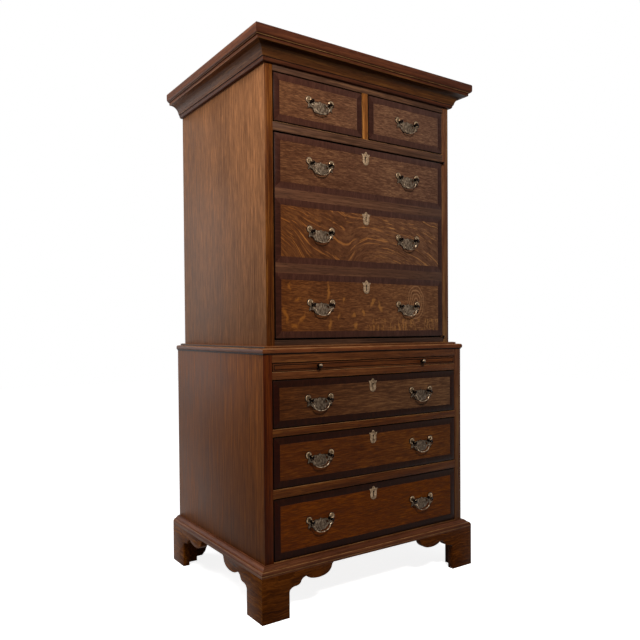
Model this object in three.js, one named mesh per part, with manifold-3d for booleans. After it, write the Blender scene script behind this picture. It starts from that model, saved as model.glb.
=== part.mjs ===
// A chest on chest in oak with mahogany crossbanding. The upper case holds two short drawers over a
// cupboard, whose one side-hung door is dressed as three drawers. The lower case holds a brushing
// slide and three long drawers, and stands on four bracket feet.
// Millimetres, +Z up, the front faces -Y, the origin is under the middle of the chest at the floor.
import * as THREE from "three";
import { mergeVertices } from "three/addons/utils/BufferGeometryUtils.js";
import Module from "manifold-3d";

const wasm = await Module();
wasm.setup();

// Cases in plan
const lowerWidth = 780;
const lowerDepth = 610;
const stepInset = 28; // how far the upper case stands back, at the front and at each side
const lowerSideThickness = 28.5;
const upperSideThickness = 26;
const backThickness = 10;
const boardThickness = 18;
const dustboardThickness = 12;
const railDepth = 60;
const dividerWidth = 21;
const topRailThickness = 22;

// Heights of the lower case, from the floor up
const footHeight = 128;
const baseMouldingHeight = 26.5;
const baseRailReveal = 2;
const bottomLongOpening = 178.5;
const secondRailHeight = 26;
const middleLongOpening = 149;
const firstRailHeight = 21.5;
const topLongOpening = 139.5;
const slideRailHeight = 21.5;
const slideOpening = 26.5;
const lowerTopRailHeight = 27;

// Heights of the upper case, from the lower case's top up
const cupboardFloorRise = 16;
const cupboardFloorThickness = 20;
const cupboardOpening = 596;
const middleRailHeight = 25.5;
const shortOpening = 142;
const topRailReveal = 17.5;

// Mouldings
const corniceHeight = 77;
const corniceProjection = 58;
const waistRise = 20; // above the lower case's top
const waistDrop = 4; // the lip below it
const waistNose = 4.5; // beyond the lower case's face
const baseProjection = 24;

// Feet
const bracketThickness = 22;
const bracketLength = 243;
const rearBracketLength = 200;
const cornerBlock = 62;

// Fits
const runningClearance = 0.3;
const drawerSideClearance = 1;
const frontGap = 1.25;
const doorSideGap = 2;
const doorEndGap = 3;
const drawerTopClearance = 9;
const drawerBackClearance = 25;
const overrun = 1;

// Drawers, slide, shelf and door
const drawerFrontThickness = 20;
const drawerSideThickness = 10;
const drawerBottomThickness = 6;
const slideDepth = 480;
const shelfThickness = 18;
const shelfSetback = 40;
const doorThickness = 22;
const firstDummyHeight = 158;
const secondDummyHeight = 185;
const falseRailHeight = 28.5;

// Knife hinges of the door
const hingeLeafThickness = 2;
const hingeLeafLength = 50;
const hingeLeafWidth = 14;
const hingeEarRadius = 4;
const hingePinRadius = 1.5;
const hingePinForward = 4.5; // the pin stands this far ahead of the face
const hingeEarThickness = 2.5;
const hingeLeafSetback = 3;
const hingeWasherRadius = 3;

// Handles, escutcheons and knobs
const lowerHandleReach = 202; // from the chest's middle to a long drawer's handle
const handleDrop = 2; // below the middle of its drawer
const plateWidth = 102;
const plateHeight = 48;
const plateThickness = 2;
const postBore = 66;
const postRise = 8; // above the plate's middle
const postRadius = 5;
const postReach = 16.5; // from the drawer's face
const pivotReach = 13;
const bailRadius = 1.9;
const bailDrop = 32;
const bailPinDepth = 7; // how far the bail's turned-in end goes into its post
const escutcheonWidth = 32;
const escutcheonHeight = 40;
const escutcheonThickness = 1.5;
const escutcheonFall = 31.5; // from the drawer's top edge to the plate's middle
const keyholeRise = 3.5; // its round part's middle above the plate's middle
const keyholeRadius = 2.8;
const keySlotWidth = 3.4;
const keySlotLength = 16.5;
const keyholeDepth = 12;
const knobReach = 205.5;
const knobRadius = 7.5;
const knobLength = 17;

// Outlines. A row of two shares is a straight run to that point, and a row of four is a curve that
// bends towards its first point and ends at its second.
const corniceShares = [
  [0, 0], [0.08, 0], [0.19, 0.01, 0.2, 0.13], [0.24, 0.15], [0.33, 0.46, 0.7, 0.505], [0.84, 0.505],
  [0.84, 0.61], [0.9, 0.635], [0.99, 0.66, 1, 0.76], [1, 0.93], [0.99, 0.99, 0.93, 1], [0, 1],
];
const waistShares = [
  [0.9, 0], [0.99, 0.03, 1, 0.3], [0.99, 0.62, 0.88, 0.65], [0.67, 0.67], [0.6, 0.92, 0.3, 0.97],
  [0.28, 1], [0, 1],
];
const baseShares = [
  [0, 0], [1, 0], [1, 0.25], [0.99, 0.45, 0.87, 0.6], [0.78, 0.62], [0.62, 0.66, 0.5, 0.78],
  [0.3, 0.96, 0.08, 1], [0, 1],
];
const bracketShares = [
  [0, 0], [0.366, 0], [0.366, 0.56], [0.37, 0.675, 0.47, 0.675], [0.52, 0.69, 0.53, 0.76],
  [0.55, 0.82, 0.6, 0.84], [0.65, 0.74, 0.78, 0.735], [0.96, 0.74, 0.98, 0.97], [1, 1], [0, 1],
];
const rearBracketShares = [[0, 0], [0.5, 0], [0.56, 0.1], [0.66, 0.55, 0.97, 0.8], [1, 1], [0, 1]];
const plateShares = [
  [0, 0.8], [0.12, 0.69, 0.35, 0.74], [0.47, 0.645, 0.6, 0.74], [0.59, 0.97, 0.765, 0.99],
  [0.96, 1, 0.99, 0.8], [1, 0.625, 0.85, 0.595], [0.79, 0.53, 0.83, 0.43], [0.86, 0.26],
  [0.745, 0.365, 0.61, 0.335], [0.53, 0.3, 0.48, 0.22], [0.39, 0.04, 0.16, 0.05], [0.06, 0.05, 0, 0],
];
const escutcheonShares = [
  [0, 1], [0.27, 1, 0.29, 0.88], [0.5, 0.8, 1, 0.83], [0.84, 0.72, 0.72, 0.58],
  [0.78, 0.42, 0.7, 0.24], [0.58, 0, 0, 0],
];
const knobShares = [[0, 0], [0.6, 0], [0.5, 0.14], [0.45, 0.42], [1, 0.45, 1, 0.7], [1, 1, 0, 1]];
const bailShares = [
  [1.055, 0], [1.07, -0.1], [1.01, -0.25], [0.885, -0.34], [0.75, -0.41], [0.69, -0.56],
  [0.585, -0.77], [0.34, -0.94],
];

// Facets
const curveSteps = 3;
const bracketCurveSteps = 4;
const plateCurveSteps = 2;
const postSides = 8;
const pinSides = 6;
const knobSides = 10;
const bailSides = 6;
const bailSteps = 20;

// Places that follow from the sizes
const upperWidth = lowerWidth - 2 * stepInset;
const upperDepth = lowerDepth - stepInset;
const overallDepth = Math.max(upperDepth + corniceProjection, lowerDepth + baseProjection);
const backY = overallDepth / 2;
const lowerFrontY = backY - lowerDepth;
const upperFrontY = backY - upperDepth;
const panelY = backY - backThickness;

const lowerInnerHalf = lowerWidth / 2 - lowerSideThickness;
const upperInnerHalf = upperWidth / 2 - upperSideThickness;

const baseRailTop = footHeight + baseMouldingHeight + baseRailReveal;
const longDrawer3 = { bottom: baseRailTop, top: baseRailTop + bottomLongOpening };
const rail2Top = longDrawer3.top + secondRailHeight;
const longDrawer2 = { bottom: rail2Top, top: rail2Top + middleLongOpening };
const rail1Top = longDrawer2.top + firstRailHeight;
const longDrawer1 = { bottom: rail1Top, top: rail1Top + topLongOpening };
const slideBottom = longDrawer1.top + slideRailHeight;
const slideTop = slideBottom + slideOpening;
const lowerTop = slideTop + lowerTopRailHeight;

const cupboardFloor = lowerTop + cupboardFloorRise + cupboardFloorThickness;
const cupboardTop = cupboardFloor + cupboardOpening;
const shortBottom = cupboardTop + middleRailHeight;
const shortTop = shortBottom + shortOpening;
const corniceBottom = shortTop + topRailReveal;
const overallHeight = corniceBottom + corniceHeight;
const sideTop = overallHeight - boardThickness;

const shortInner = dividerWidth / 2;
const shortMiddle = (shortInner + upperInnerHalf) / 2;

const doorBottom = cupboardFloor + doorEndGap;
const doorTop = cupboardTop - doorEndGap;
const doorHalf = upperInnerHalf - doorSideGap;
const hingeX = upperInnerHalf - doorSideGap / 2;
const hingeY = upperFrontY - hingePinForward;

const finishes = {
  caseOak: { color: 0x7c4a2c, roughness: 0.45, metalness: 0 },
  railOak: { color: 0x8a5528, roughness: 0.42, metalness: 0 },
  mouldingOak: { color: 0x5f3320, roughness: 0.4, metalness: 0 },
  fieldOak: { color: 0x6f4a2b, roughness: 0.38, metalness: 0 },
  innerPine: { color: 0xb28a58, roughness: 0.75, metalness: 0 },
  brass: { color: 0x9c8a68, roughness: 0.38, metalness: 1 },
};

const chest = new THREE.Group();

function finish(name) {
  return new THREE.MeshStandardMaterial(finishes[name]);
}

function addPiece(group, name, geometry, finishName, place = [0, 0, 0]) {
  const mesh = new THREE.Mesh(geometry, finish(finishName));
  mesh.name = name;
  mesh.position.set(...place);
  group.add(mesh);
  return mesh;
}

// A plain board between two limits on each axis
function addBoard(group, name, finishName, xs, ys, zs) {
  const limits = [xs, ys, zs];
  const geometry = new THREE.BoxGeometry(...limits.map(([low, high]) => high - low));
  return addPiece(group, name, geometry, finishName, limits.map(([low, high]) => (low + high) / 2));
}

function solidOf(geometry) {
  const bare = geometry.clone();
  bare.deleteAttribute("normal");
  bare.deleteAttribute("uv");
  const merged = mergeVertices(bare);
  return new wasm.Manifold(new wasm.Mesh({
    numProp: 3,
    vertProperties: new Float32Array(merged.attributes.position.array),
    triVerts: new Uint32Array(merged.index.array),
  }));
}

function geometryOf(solid) {
  const mesh = solid.getMesh();
  const geometry = new THREE.BufferGeometry();
  geometry.setAttribute("position", new THREE.BufferAttribute(new Float32Array(mesh.vertProperties), 3));
  geometry.setIndex(new THREE.BufferAttribute(new Uint32Array(mesh.triVerts), 1));
  geometry.computeVertexNormals();
  return geometry;
}

function boxSolid(xs, ys, zs) {
  const limits = [xs, ys, zs];
  const geometry = new THREE.BoxGeometry(...limits.map(([low, high]) => high - low));
  geometry.translate(...limits.map(([low, high]) => (low + high) / 2));
  return solidOf(geometry);
}

function outline(shares, width, height, steps = curveSteps) {
  const path = new THREE.Path();
  shares.forEach((row, index) => {
    const run = row.map((share, place) => share * (place % 2 ? height : width));
    if (index === 0) path.moveTo(...run);
    else if (run.length === 2) path.lineTo(...run);
    else path.quadraticCurveTo(...run);
  });
  return path.getPoints(steps);
}

// A right half outline, mirrored to a whole one
function mirrored(half) {
  const left = half.filter((point) => point.x > 0).map((point) => new THREE.Vector2(-point.x, point.y));
  return [...half, ...left.reverse()];
}

// An outline in X and Z, given thickness from y = 0 towards -Y
function plateGeometry(points, thickness, holes = []) {
  const shape = new THREE.Shape(points);
  shape.holes = holes;
  const geometry = new THREE.ExtrudeGeometry(shape, { depth: thickness, bevelEnabled: false });
  geometry.rotateX(Math.PI / 2);
  return geometry;
}

// A moulding that runs round the front and both sides, mitred at the front corners.
// Its profile's first number goes outwards from the case, and its second one up.
function mouldingGeometry(profile, halfWidth, frontY, bottomZ) {
  const stations = [
    (out) => [-(halfWidth + out), backY],
    (out) => [-(halfWidth + out), frontY - out],
    (out) => [halfWidth + out, frontY - out],
    (out) => [halfWidth + out, backY],
  ];
  const count = profile.length;
  const positions = stations.flatMap((station) =>
    profile.flatMap((point) => [...station(point.x), bottomZ + point.y]));
  const faces = [];
  for (let run = 0; run < stations.length - 1; run += 1) {
    for (let index = 0; index < count; index += 1) {
      const next = (index + 1) % count;
      const [a, b] = [run * count + index, run * count + next];
      faces.push(a, a + count, b, b, a + count, b + count);
    }
  }
  const lastStation = (stations.length - 1) * count;
  for (const [a, b, c] of THREE.ShapeUtils.triangulateShape(profile, [])) {
    faces.push(a, b, c, lastStation + a, lastStation + c, lastStation + b);
  }
  const geometry = new THREE.BufferGeometry();
  geometry.setAttribute("position", new THREE.Float32BufferAttribute(positions, 3));
  geometry.setIndex(faces);
  geometry.computeVertexNormals();
  return geometry;
}

// Case boards and rails
function addCases(group) {
  const lowerXs = [-lowerInnerHalf, lowerInnerHalf];
  const upperXs = [-upperInnerHalf, upperInnerHalf];
  const lowerHalf = lowerWidth / 2;
  const upperHalf = upperWidth / 2;

  addBoard(group, "lower_side_left", "caseOak",
    [-lowerHalf, -lowerInnerHalf], [lowerFrontY, backY], [footHeight, lowerTop]);
  addBoard(group, "lower_side_right", "caseOak",
    [lowerInnerHalf, lowerHalf], [lowerFrontY, backY], [footHeight, lowerTop]);
  addBoard(group, "upper_side_left", "caseOak",
    [-upperHalf, -upperInnerHalf], [upperFrontY, backY], [lowerTop, sideTop]);
  addBoard(group, "upper_side_right", "caseOak",
    [upperInnerHalf, upperHalf], [upperFrontY, backY], [lowerTop, sideTop]);
  addBoard(group, "upper_top_board", "caseOak",
    [-upperHalf, upperHalf], [upperFrontY, backY], [sideTop, overallHeight]);
  addBoard(group, "lower_back_panel", "innerPine", lowerXs, [panelY, backY], [footHeight, lowerTop]);
  addBoard(group, "upper_back_panel", "innerPine", upperXs, [panelY, backY], [lowerTop, sideTop]);

  const rails = [
    ["base_rail", footHeight, baseRailTop],
    ["long_drawer_rail_2", longDrawer3.top, longDrawer2.bottom],
    ["long_drawer_rail_1", longDrawer2.top, longDrawer1.bottom],
    ["slide_rail", longDrawer1.top, slideBottom],
    ["lower_top_rail", slideTop, lowerTop],
  ];
  for (const [name, bottom, top] of rails) {
    addBoard(group, name, "railOak", lowerXs, [lowerFrontY, lowerFrontY + railDepth], [bottom, top]);
  }
  addBoard(group, "upper_middle_rail", "railOak",
    upperXs, [upperFrontY, upperFrontY + railDepth], [cupboardTop, shortBottom]);
  addBoard(group, "upper_top_rail", "railOak",
    upperXs, [upperFrontY, upperFrontY + topRailThickness], [shortTop, sideTop]);
  addBoard(group, "short_drawer_divider", "railOak",
    [-shortInner, shortInner], [upperFrontY, panelY], [shortBottom, shortTop]);

  const behindLowerRail = [lowerFrontY + railDepth, panelY];
  const behindUpperRail = [upperFrontY + railDepth, panelY];
  addBoard(group, "lower_bottom_board", "innerPine",
    lowerXs, behindLowerRail, [baseRailTop - boardThickness, baseRailTop]);
  addBoard(group, "long_drawer_dustboard_2", "innerPine",
    lowerXs, behindLowerRail, [longDrawer2.bottom - dustboardThickness, longDrawer2.bottom]);
  addBoard(group, "long_drawer_dustboard_1", "innerPine",
    lowerXs, behindLowerRail, [longDrawer1.bottom - dustboardThickness, longDrawer1.bottom]);
  addBoard(group, "slide_dustboard", "innerPine",
    lowerXs, behindLowerRail, [slideBottom - dustboardThickness, slideBottom]);
  addBoard(group, "lower_top_board", "innerPine", lowerXs, behindLowerRail, [slideTop, lowerTop]);
  addBoard(group, "upper_dustboard", "innerPine",
    upperXs, behindUpperRail, [shortBottom - dustboardThickness, shortBottom]);
  addBoard(group, "upper_bottom_board", "railOak",
    upperXs, [upperFrontY, panelY], [cupboardFloor - cupboardFloorThickness, cupboardFloor]);

  const shelfMiddle = (cupboardFloor + cupboardTop) / 2;
  addBoard(group, "cupboard_shelf", "innerPine",
    upperXs, [upperFrontY + doorThickness + shelfSetback, panelY],
    [shelfMiddle - shelfThickness / 2, shelfMiddle + shelfThickness / 2]);
}

function addMouldings(group) {
  const cornice = outline(corniceShares, corniceProjection, corniceHeight);
  addPiece(group, "cornice", mouldingGeometry(cornice, upperWidth / 2, upperFrontY, corniceBottom),
    "mouldingOak");

  // The waist moulding beds on the lower case's top and laps its face with a lip.
  const bed = [[0, waistDrop], [stepInset, waistDrop], [stepInset, 0]];
  const waist = [
    ...bed.map((point) => new THREE.Vector2(...point)),
    ...outline(waistShares, stepInset + waistNose, waistDrop + waistRise),
  ];
  addPiece(group, "waist_moulding",
    mouldingGeometry(waist, upperWidth / 2, upperFrontY, lowerTop - waistDrop), "mouldingOak");

  const base = outline(baseShares, baseProjection, baseMouldingHeight);
  addPiece(group, "base_moulding", mouldingGeometry(base, lowerWidth / 2, lowerFrontY, footHeight),
    "mouldingOak");
}

// A bracket's outline, run towards +X or -X
function bracketGeometry(shares, length, direction) {
  const points = outline(shares, length, footHeight, bracketCurveSteps);
  return plateGeometry(points.map((point) => new THREE.Vector2(direction * point.x, point.y)),
    bracketThickness);
}

// A foot about its outer corner: two scalloped brackets and the block glued behind them. inX and inY
// are the directions from that corner to the middle of the chest.
function footGeometry(inX, inY) {
  const rear = inY < 0;
  const front = rear
    ? bracketGeometry(rearBracketShares, rearBracketLength, inX)
    : bracketGeometry(bracketShares, bracketLength, inX);
  front.translate(0, rear ? 0 : bracketThickness, 0);
  const side = bracketGeometry(bracketShares, bracketLength, inY);
  side.rotateZ(Math.PI / 2);
  side.translate(inX < 0 ? -bracketThickness : 0, 0, 0);
  const span = (direction) => {
    const limits = [direction * (bracketThickness - overrun), direction * cornerBlock];
    return direction > 0 ? limits : limits.reverse();
  };
  const block = boxSolid(span(inX), span(inY), [0, footHeight]);
  return geometryOf(solidOf(front).add(solidOf(side)).add(block));
}

function addFeet(group) {
  const reachX = lowerWidth / 2 + baseProjection;
  const frontY = lowerFrontY - baseProjection;
  addPiece(group, "foot_front_left", footGeometry(1, 1), "mouldingOak", [-reachX, frontY, 0]);
  addPiece(group, "foot_front_right", footGeometry(-1, 1), "mouldingOak", [reachX, frontY, 0]);
  addPiece(group, "foot_rear_left", footGeometry(1, -1), "mouldingOak", [-reachX, backY, 0]);
  addPiece(group, "foot_rear_right", footGeometry(-1, -1), "mouldingOak", [reachX, backY, 0]);
}

// A round bar along one axis, from its low end to its high end
function barSolid(radius, sides, axis, low, high, place) {
  const geometry = new THREE.CylinderGeometry(radius, radius, high - low, sides);
  const middle = (low + high) / 2;
  if (axis === "x") geometry.rotateZ(Math.PI / 2).translate(middle, place[0], place[1]);
  if (axis === "y") geometry.translate(place[0], middle, place[1]);
  if (axis === "z") geometry.rotateX(Math.PI / 2).translate(place[0], place[1], middle);
  return solidOf(geometry);
}

// The backplate of a bail handle with its two posts, on a face at y = 0 about the plate's middle
function handleSolid(x, z) {
  const half = outline(plateShares, plateWidth / 2, plateHeight, plateCurveSteps);
  const plate = plateGeometry(mirrored(half), plateThickness + overrun);
  plate.translate(x, overrun, z - plateHeight / 2);
  let handle = solidOf(plate);
  const postZ = z + postRise;
  for (const side of [-1, 1]) {
    const postX = x + side * postBore / 2;
    handle = handle.add(barSolid(postRadius, postSides, "y", -postReach, 0, [postX, postZ]));
  }
  return handle;
}

// The sockets for a bail's turned-in ends
function socketSolids(x, z) {
  const outer = postBore / 2 + postRadius + overrun;
  const inner = postBore / 2 + postRadius - bailPinDepth - runningClearance;
  const place = [-pivotReach, z + postRise];
  const radius = bailRadius + runningClearance;
  return [
    barSolid(radius, pinSides, "x", x + inner, x + outer, place),
    barSolid(radius, pinSides, "x", x - outer, x - inner, place),
  ];
}

function escutcheonSolid(z) {
  const half = outline(escutcheonShares, escutcheonWidth / 2, escutcheonHeight, plateCurveSteps);
  const plate = plateGeometry(mirrored(half), escutcheonThickness + overrun);
  plate.translate(0, overrun, z - escutcheonHeight / 2);
  return solidOf(plate);
}

// The keyhole of an escutcheon whose middle is at z: a round part over a slot
function keyholeSolid(z) {
  const low = -escutcheonThickness - overrun;
  const top = z + keyholeRise;
  const hole = barSolid(keyholeRadius, postSides, "y", low, keyholeDepth, [0, top]);
  const slotXs = [-keySlotWidth / 2, keySlotWidth / 2];
  return hole.add(boxSolid(slotXs, [low, keyholeDepth], [top - keySlotLength, top]));
}

// A drawer front or door, its face at y = 0, with its handles and escutcheons let on
function frontSolid(xs, thickness, zs, handlePlaces, escutcheonZs) {
  let front = boxSolid(xs, [0, thickness], zs);
  for (const [x, z] of handlePlaces) front = front.add(handleSolid(x, z));
  for (const z of escutcheonZs) front = front.add(escutcheonSolid(z));
  for (const [x, z] of handlePlaces) {
    for (const socket of socketSolids(x, z)) front = front.subtract(socket);
  }
  for (const z of escutcheonZs) front = front.subtract(keyholeSolid(z));
  return front;
}

// A swan-neck bail, hanging from its pivot line at the origin, with its ends turned in as pins
function bailGeometry() {
  const reach = postBore / 2 + postRadius;
  const half = bailShares.map(([x, z]) => new THREE.Vector3(x * reach, 0, z * bailDrop));
  const other = half.map((point) => new THREE.Vector3(-point.x, 0, point.z)).reverse();
  const path = new THREE.CatmullRomCurve3([...half, new THREE.Vector3(0, 0, -bailDrop), ...other]);
  const section = new THREE.Shape();
  for (let side = 0; side < bailSides; side += 1) {
    const turn = (side / bailSides) * 2 * Math.PI;
    const point = [bailRadius * Math.cos(turn), bailRadius * Math.sin(turn)];
    if (side === 0) section.moveTo(...point);
    else section.lineTo(...point);
  }
  const loop = { steps: bailSteps, extrudePath: path, bevelEnabled: false };
  const right = [reach - bailPinDepth, reach + bailRadius];
  const place = [0, 0];
  return geometryOf(solidOf(new THREE.ExtrudeGeometry(section, loop))
    .add(barSolid(bailRadius, bailSides, "x", ...right, place))
    .add(barSolid(bailRadius, bailSides, "x", -right[1], -right[0], place)));
}

function addBail(group, name, x, z, frontY) {
  addPiece(group, name, bailGeometry(), "brass", [x, frontY - pivotReach, z + postRise]);
}

// Sides, back and bottom of a drawer, open at the top and closed in front by the drawer's front
function trayGeometry(xs, ys, zs) {
  const outer = boxSolid(xs, ys, zs);
  const inner = boxSolid([xs[0] + drawerSideThickness, xs[1] - drawerSideThickness],
    [ys[0] - overrun, ys[1] - drawerSideThickness], [zs[0] + drawerBottomThickness, zs[1] + overrun]);
  return geometryOf(outer.subtract(inner));
}

function addDrawer(name, frontY, xs, opening, handleXs, hasLock) {
  const group = new THREE.Group();
  const frontXs = [xs[0] + frontGap, xs[1] - frontGap];
  const frontZs = [opening.bottom + frontGap, opening.top - frontGap];
  const handleZ = (opening.bottom + opening.top) / 2 - handleDrop;
  const escutcheonZs = hasLock ? [frontZs[1] - escutcheonFall] : [];
  const front = frontSolid(frontXs, drawerFrontThickness, frontZs,
    handleXs.map((x) => [x, handleZ]), escutcheonZs);
  addPiece(group, `${name}_front`, geometryOf(front), "fieldOak", [0, frontY, 0]);

  const tray = trayGeometry([xs[0] + drawerSideClearance, xs[1] - drawerSideClearance],
    [frontY + drawerFrontThickness, panelY - drawerBackClearance],
    [opening.bottom + runningClearance, opening.top - drawerTopClearance]);
  addPiece(group, `${name}_box`, tray, "innerPine");

  const sides = handleXs.length > 1 ? ["_left", "_right"] : [""];
  handleXs.forEach((x, index) => addBail(group, `${name}_bail${sides[index]}`, x, handleZ, frontY));
  chest.add(group);
}

function addDrawers() {
  const short = { bottom: shortBottom, top: shortTop };
  addDrawer("short_drawer_left", upperFrontY, [-upperInnerHalf, -shortInner], short, [-shortMiddle], false);
  addDrawer("short_drawer_right", upperFrontY, [shortInner, upperInnerHalf], short, [shortMiddle], false);
  const longXs = [-lowerInnerHalf, lowerInnerHalf];
  const longHandles = [-lowerHandleReach, lowerHandleReach];
  addDrawer("long_drawer_1", lowerFrontY, longXs, longDrawer1, longHandles, true);
  addDrawer("long_drawer_2", lowerFrontY, longXs, longDrawer2, longHandles, true);
  addDrawer("long_drawer_3", lowerFrontY, longXs, longDrawer3, longHandles, true);
}

function addSlide() {
  const group = new THREE.Group();
  addBoard(group, "brushing_slide", "railOak",
    [-lowerInnerHalf + frontGap, lowerInnerHalf - frontGap], [lowerFrontY, lowerFrontY + slideDepth],
    [slideBottom + runningClearance, slideTop - frontGap]);
  const knobZ = (slideBottom + slideTop) / 2;
  const knob = new THREE.LatheGeometry(outline(knobShares, knobRadius, knobLength), knobSides);
  knob.rotateX(Math.PI);
  addPiece(group, "slide_knob_left", knob, "brass", [-knobReach, lowerFrontY, knobZ]);
  addPiece(group, "slide_knob_right", knob.clone(), "brass", [knobReach, lowerFrontY, knobZ]);
  chest.add(group);
}

// The three drawers that the door is dressed as, from the top down
function dummyDrawers() {
  const first = { top: doorTop, bottom: doorTop - firstDummyHeight };
  const second = { top: first.bottom - falseRailHeight };
  second.bottom = second.top - secondDummyHeight;
  return [first, second, { top: second.bottom - falseRailHeight, bottom: doorBottom }];
}

// An ear at a door's corner or on its hinge leaf, with its neck back to the plate that carries it
function earSolid(neckXs, neckBackY, zs) {
  const neck = boxSolid(neckXs, [-hingePinForward, neckBackY], zs);
  return neck.add(barSolid(hingeEarRadius, knobSides, "z", zs[0], zs[1], [hingeX, -hingePinForward]));
}

function addDoor() {
  const group = new THREE.Group();
  const drawers = dummyDrawers();
  const middles = drawers.map(({ top, bottom }) => (top + bottom) / 2 - handleDrop);
  const places = middles.flatMap((z) => [[-shortMiddle, z], [shortMiddle, z]]);
  let door = frontSolid([-doorHalf, doorHalf], doorThickness, [doorBottom, doorTop], places,
    drawers.map(({ top }) => top - escutcheonFall));
  const neckXs = [hingeX - hingeEarRadius, doorHalf];
  for (const zs of [[doorBottom, doorBottom + hingeEarThickness], [doorTop - hingeEarThickness, doorTop]]) {
    door = door.add(earSolid(neckXs, overrun, zs));
    door = door.subtract(barSolid(hingePinRadius + runningClearance, pinSides, "z",
      zs[0] - overrun, zs[1] + overrun, [hingeX, -hingePinForward]));
  }
  addPiece(group, "cupboard_door", geometryOf(door), "fieldOak", [0, upperFrontY, 0]);
  middles.forEach((z, index) => {
    addBail(group, `door_bail_${index + 1}_left`, -shortMiddle, z, upperFrontY);
    addBail(group, `door_bail_${index + 1}_right`, shortMiddle, z, upperFrontY);
  });
  chest.add(group);
}

// A knife hinge's leaf, screwed under the middle rail or on the cupboard's floor, with its pin
function hingeGeometry(leafZs, washerZs, pinZs) {
  const leafEnd = upperInnerHalf - runningClearance;
  const leafBackY = hingeLeafSetback + hingeLeafWidth;
  const leaf = boxSolid([hingeX - hingeLeafLength, leafEnd], [hingeLeafSetback, leafBackY], leafZs);
  const ear = earSolid([hingeX - hingeEarRadius, leafEnd], hingeLeafSetback + overrun, leafZs);
  const place = [hingeX, -hingePinForward];
  const washer = barSolid(hingeWasherRadius, pinSides, "z", washerZs[0], washerZs[1], place);
  const pin = barSolid(hingePinRadius, pinSides, "z", pinZs[0], pinZs[1], place);
  return geometryOf(leaf.add(ear).add(washer).add(pin));
}

function addHinges(group) {
  addPiece(group, "upper_door_hinge", hingeGeometry(
    [cupboardTop - hingeLeafThickness, cupboardTop],
    [doorTop + runningClearance, cupboardTop],
    [doorTop - hingeEarThickness, cupboardTop]), "brass", [0, upperFrontY, 0]);
  addPiece(group, "lower_door_hinge", hingeGeometry(
    [cupboardFloor, cupboardFloor + hingeLeafThickness],
    [cupboardFloor, doorBottom - runningClearance],
    [cupboardFloor, doorBottom + hingeEarThickness]), "brass", [0, upperFrontY, 0]);
}

const carcass = new THREE.Group();
addCases(carcass);
addMouldings(carcass);
addFeet(carcass);
addHinges(carcass);
chest.add(carcass);
addDrawers();
addSlide();
addDoor();

export default chest;
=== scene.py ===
import math

import bmesh
import bpy
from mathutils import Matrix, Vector


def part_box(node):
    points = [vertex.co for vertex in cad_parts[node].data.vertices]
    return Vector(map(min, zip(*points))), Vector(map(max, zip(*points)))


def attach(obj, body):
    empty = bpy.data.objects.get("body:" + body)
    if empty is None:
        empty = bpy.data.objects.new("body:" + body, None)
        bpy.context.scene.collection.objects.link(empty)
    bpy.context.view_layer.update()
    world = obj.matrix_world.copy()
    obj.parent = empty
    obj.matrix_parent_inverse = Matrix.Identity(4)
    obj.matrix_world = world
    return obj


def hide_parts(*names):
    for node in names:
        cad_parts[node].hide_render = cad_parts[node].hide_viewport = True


# A stained oak chest on chest: crossbanded drawers and a door dressed as drawers above,
# a brushing slide and long drawers below, with swan-neck brass handles.

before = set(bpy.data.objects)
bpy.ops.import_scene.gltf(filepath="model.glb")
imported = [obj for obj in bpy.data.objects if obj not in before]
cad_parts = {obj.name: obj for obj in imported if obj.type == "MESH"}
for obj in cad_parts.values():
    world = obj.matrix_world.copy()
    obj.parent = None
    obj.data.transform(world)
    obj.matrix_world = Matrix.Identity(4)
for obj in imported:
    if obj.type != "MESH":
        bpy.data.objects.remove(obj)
bpy.context.scene.view_settings.view_transform = "Standard"
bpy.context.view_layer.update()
mm = 0.001
hair = 0.01 * mm  # places nearer than this count as one


# Places that the frame gives, in metres
def span(node, axis):
    low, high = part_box(node)
    return low["xyz".index(axis)], high["xyz".index(axis)]


upperFaceY = span("upper_side_left", "y")[0]
lowerFaceY = span("lower_side_left", "y")[0]
backY = span("upper_side_left", "y")[1]
upperHalf = span("upper_side_right", "x")[1]
lowerHalf = span("lower_side_right", "x")[1]
openingHalf = span("upper_side_right", "x")[0]


# Modelling helpers
def startClean():
    if bpy.context.object and bpy.context.object.mode != "OBJECT":
        bpy.ops.object.mode_set(mode="OBJECT")
    bpy.ops.object.select_all(action="DESELECT")


def choose(piece):
    startClean()
    piece.select_set(True)
    bpy.context.view_layer.objects.active = piece


def setPlace(piece):
    choose(piece)
    bpy.ops.object.transform_apply(location=True, rotation=True, scale=True)
    return piece


# Goes into edit mode with the faces, edges or vertices selected that pass the test
def pick(piece, kind, test):
    if piece.mode != "EDIT":
        choose(piece)
        bpy.ops.object.mode_set(mode="EDIT")
    bpy.ops.mesh.select_mode(type=kind)
    bpy.ops.mesh.select_all(action="DESELECT")
    mesh = bmesh.from_edit_mesh(piece.data)
    for item in {"FACE": mesh.faces, "EDGE": mesh.edges, "VERT": mesh.verts}[kind]:
        if test(item):
            item.select_set(True)
    bmesh.update_edit_mesh(piece.data)


def applyModifier(piece, kind, **settings):
    choose(piece)
    modifier = piece.modifiers.new(kind, kind)
    for setting, value in settings.items():
        setattr(modifier, setting, value)
    bpy.ops.object.modifier_apply(modifier=modifier.name)


def easeEdges(piece, width, angle=30):
    applyModifier(piece, "BEVEL", width=width, segments=2, limit_method="ANGLE",
                  angle_limit=math.radians(angle), harden_normals=False)


# Joins doubled vertices and turns every face outwards
def closeUp(piece):
    choose(piece)
    bpy.ops.object.mode_set(mode="EDIT")
    bpy.ops.mesh.select_all(action="SELECT")
    bpy.ops.mesh.remove_doubles(threshold=2 * hair)
    bpy.ops.mesh.normals_make_consistent(inside=False)
    bpy.ops.object.mode_set(mode="OBJECT")


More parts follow.
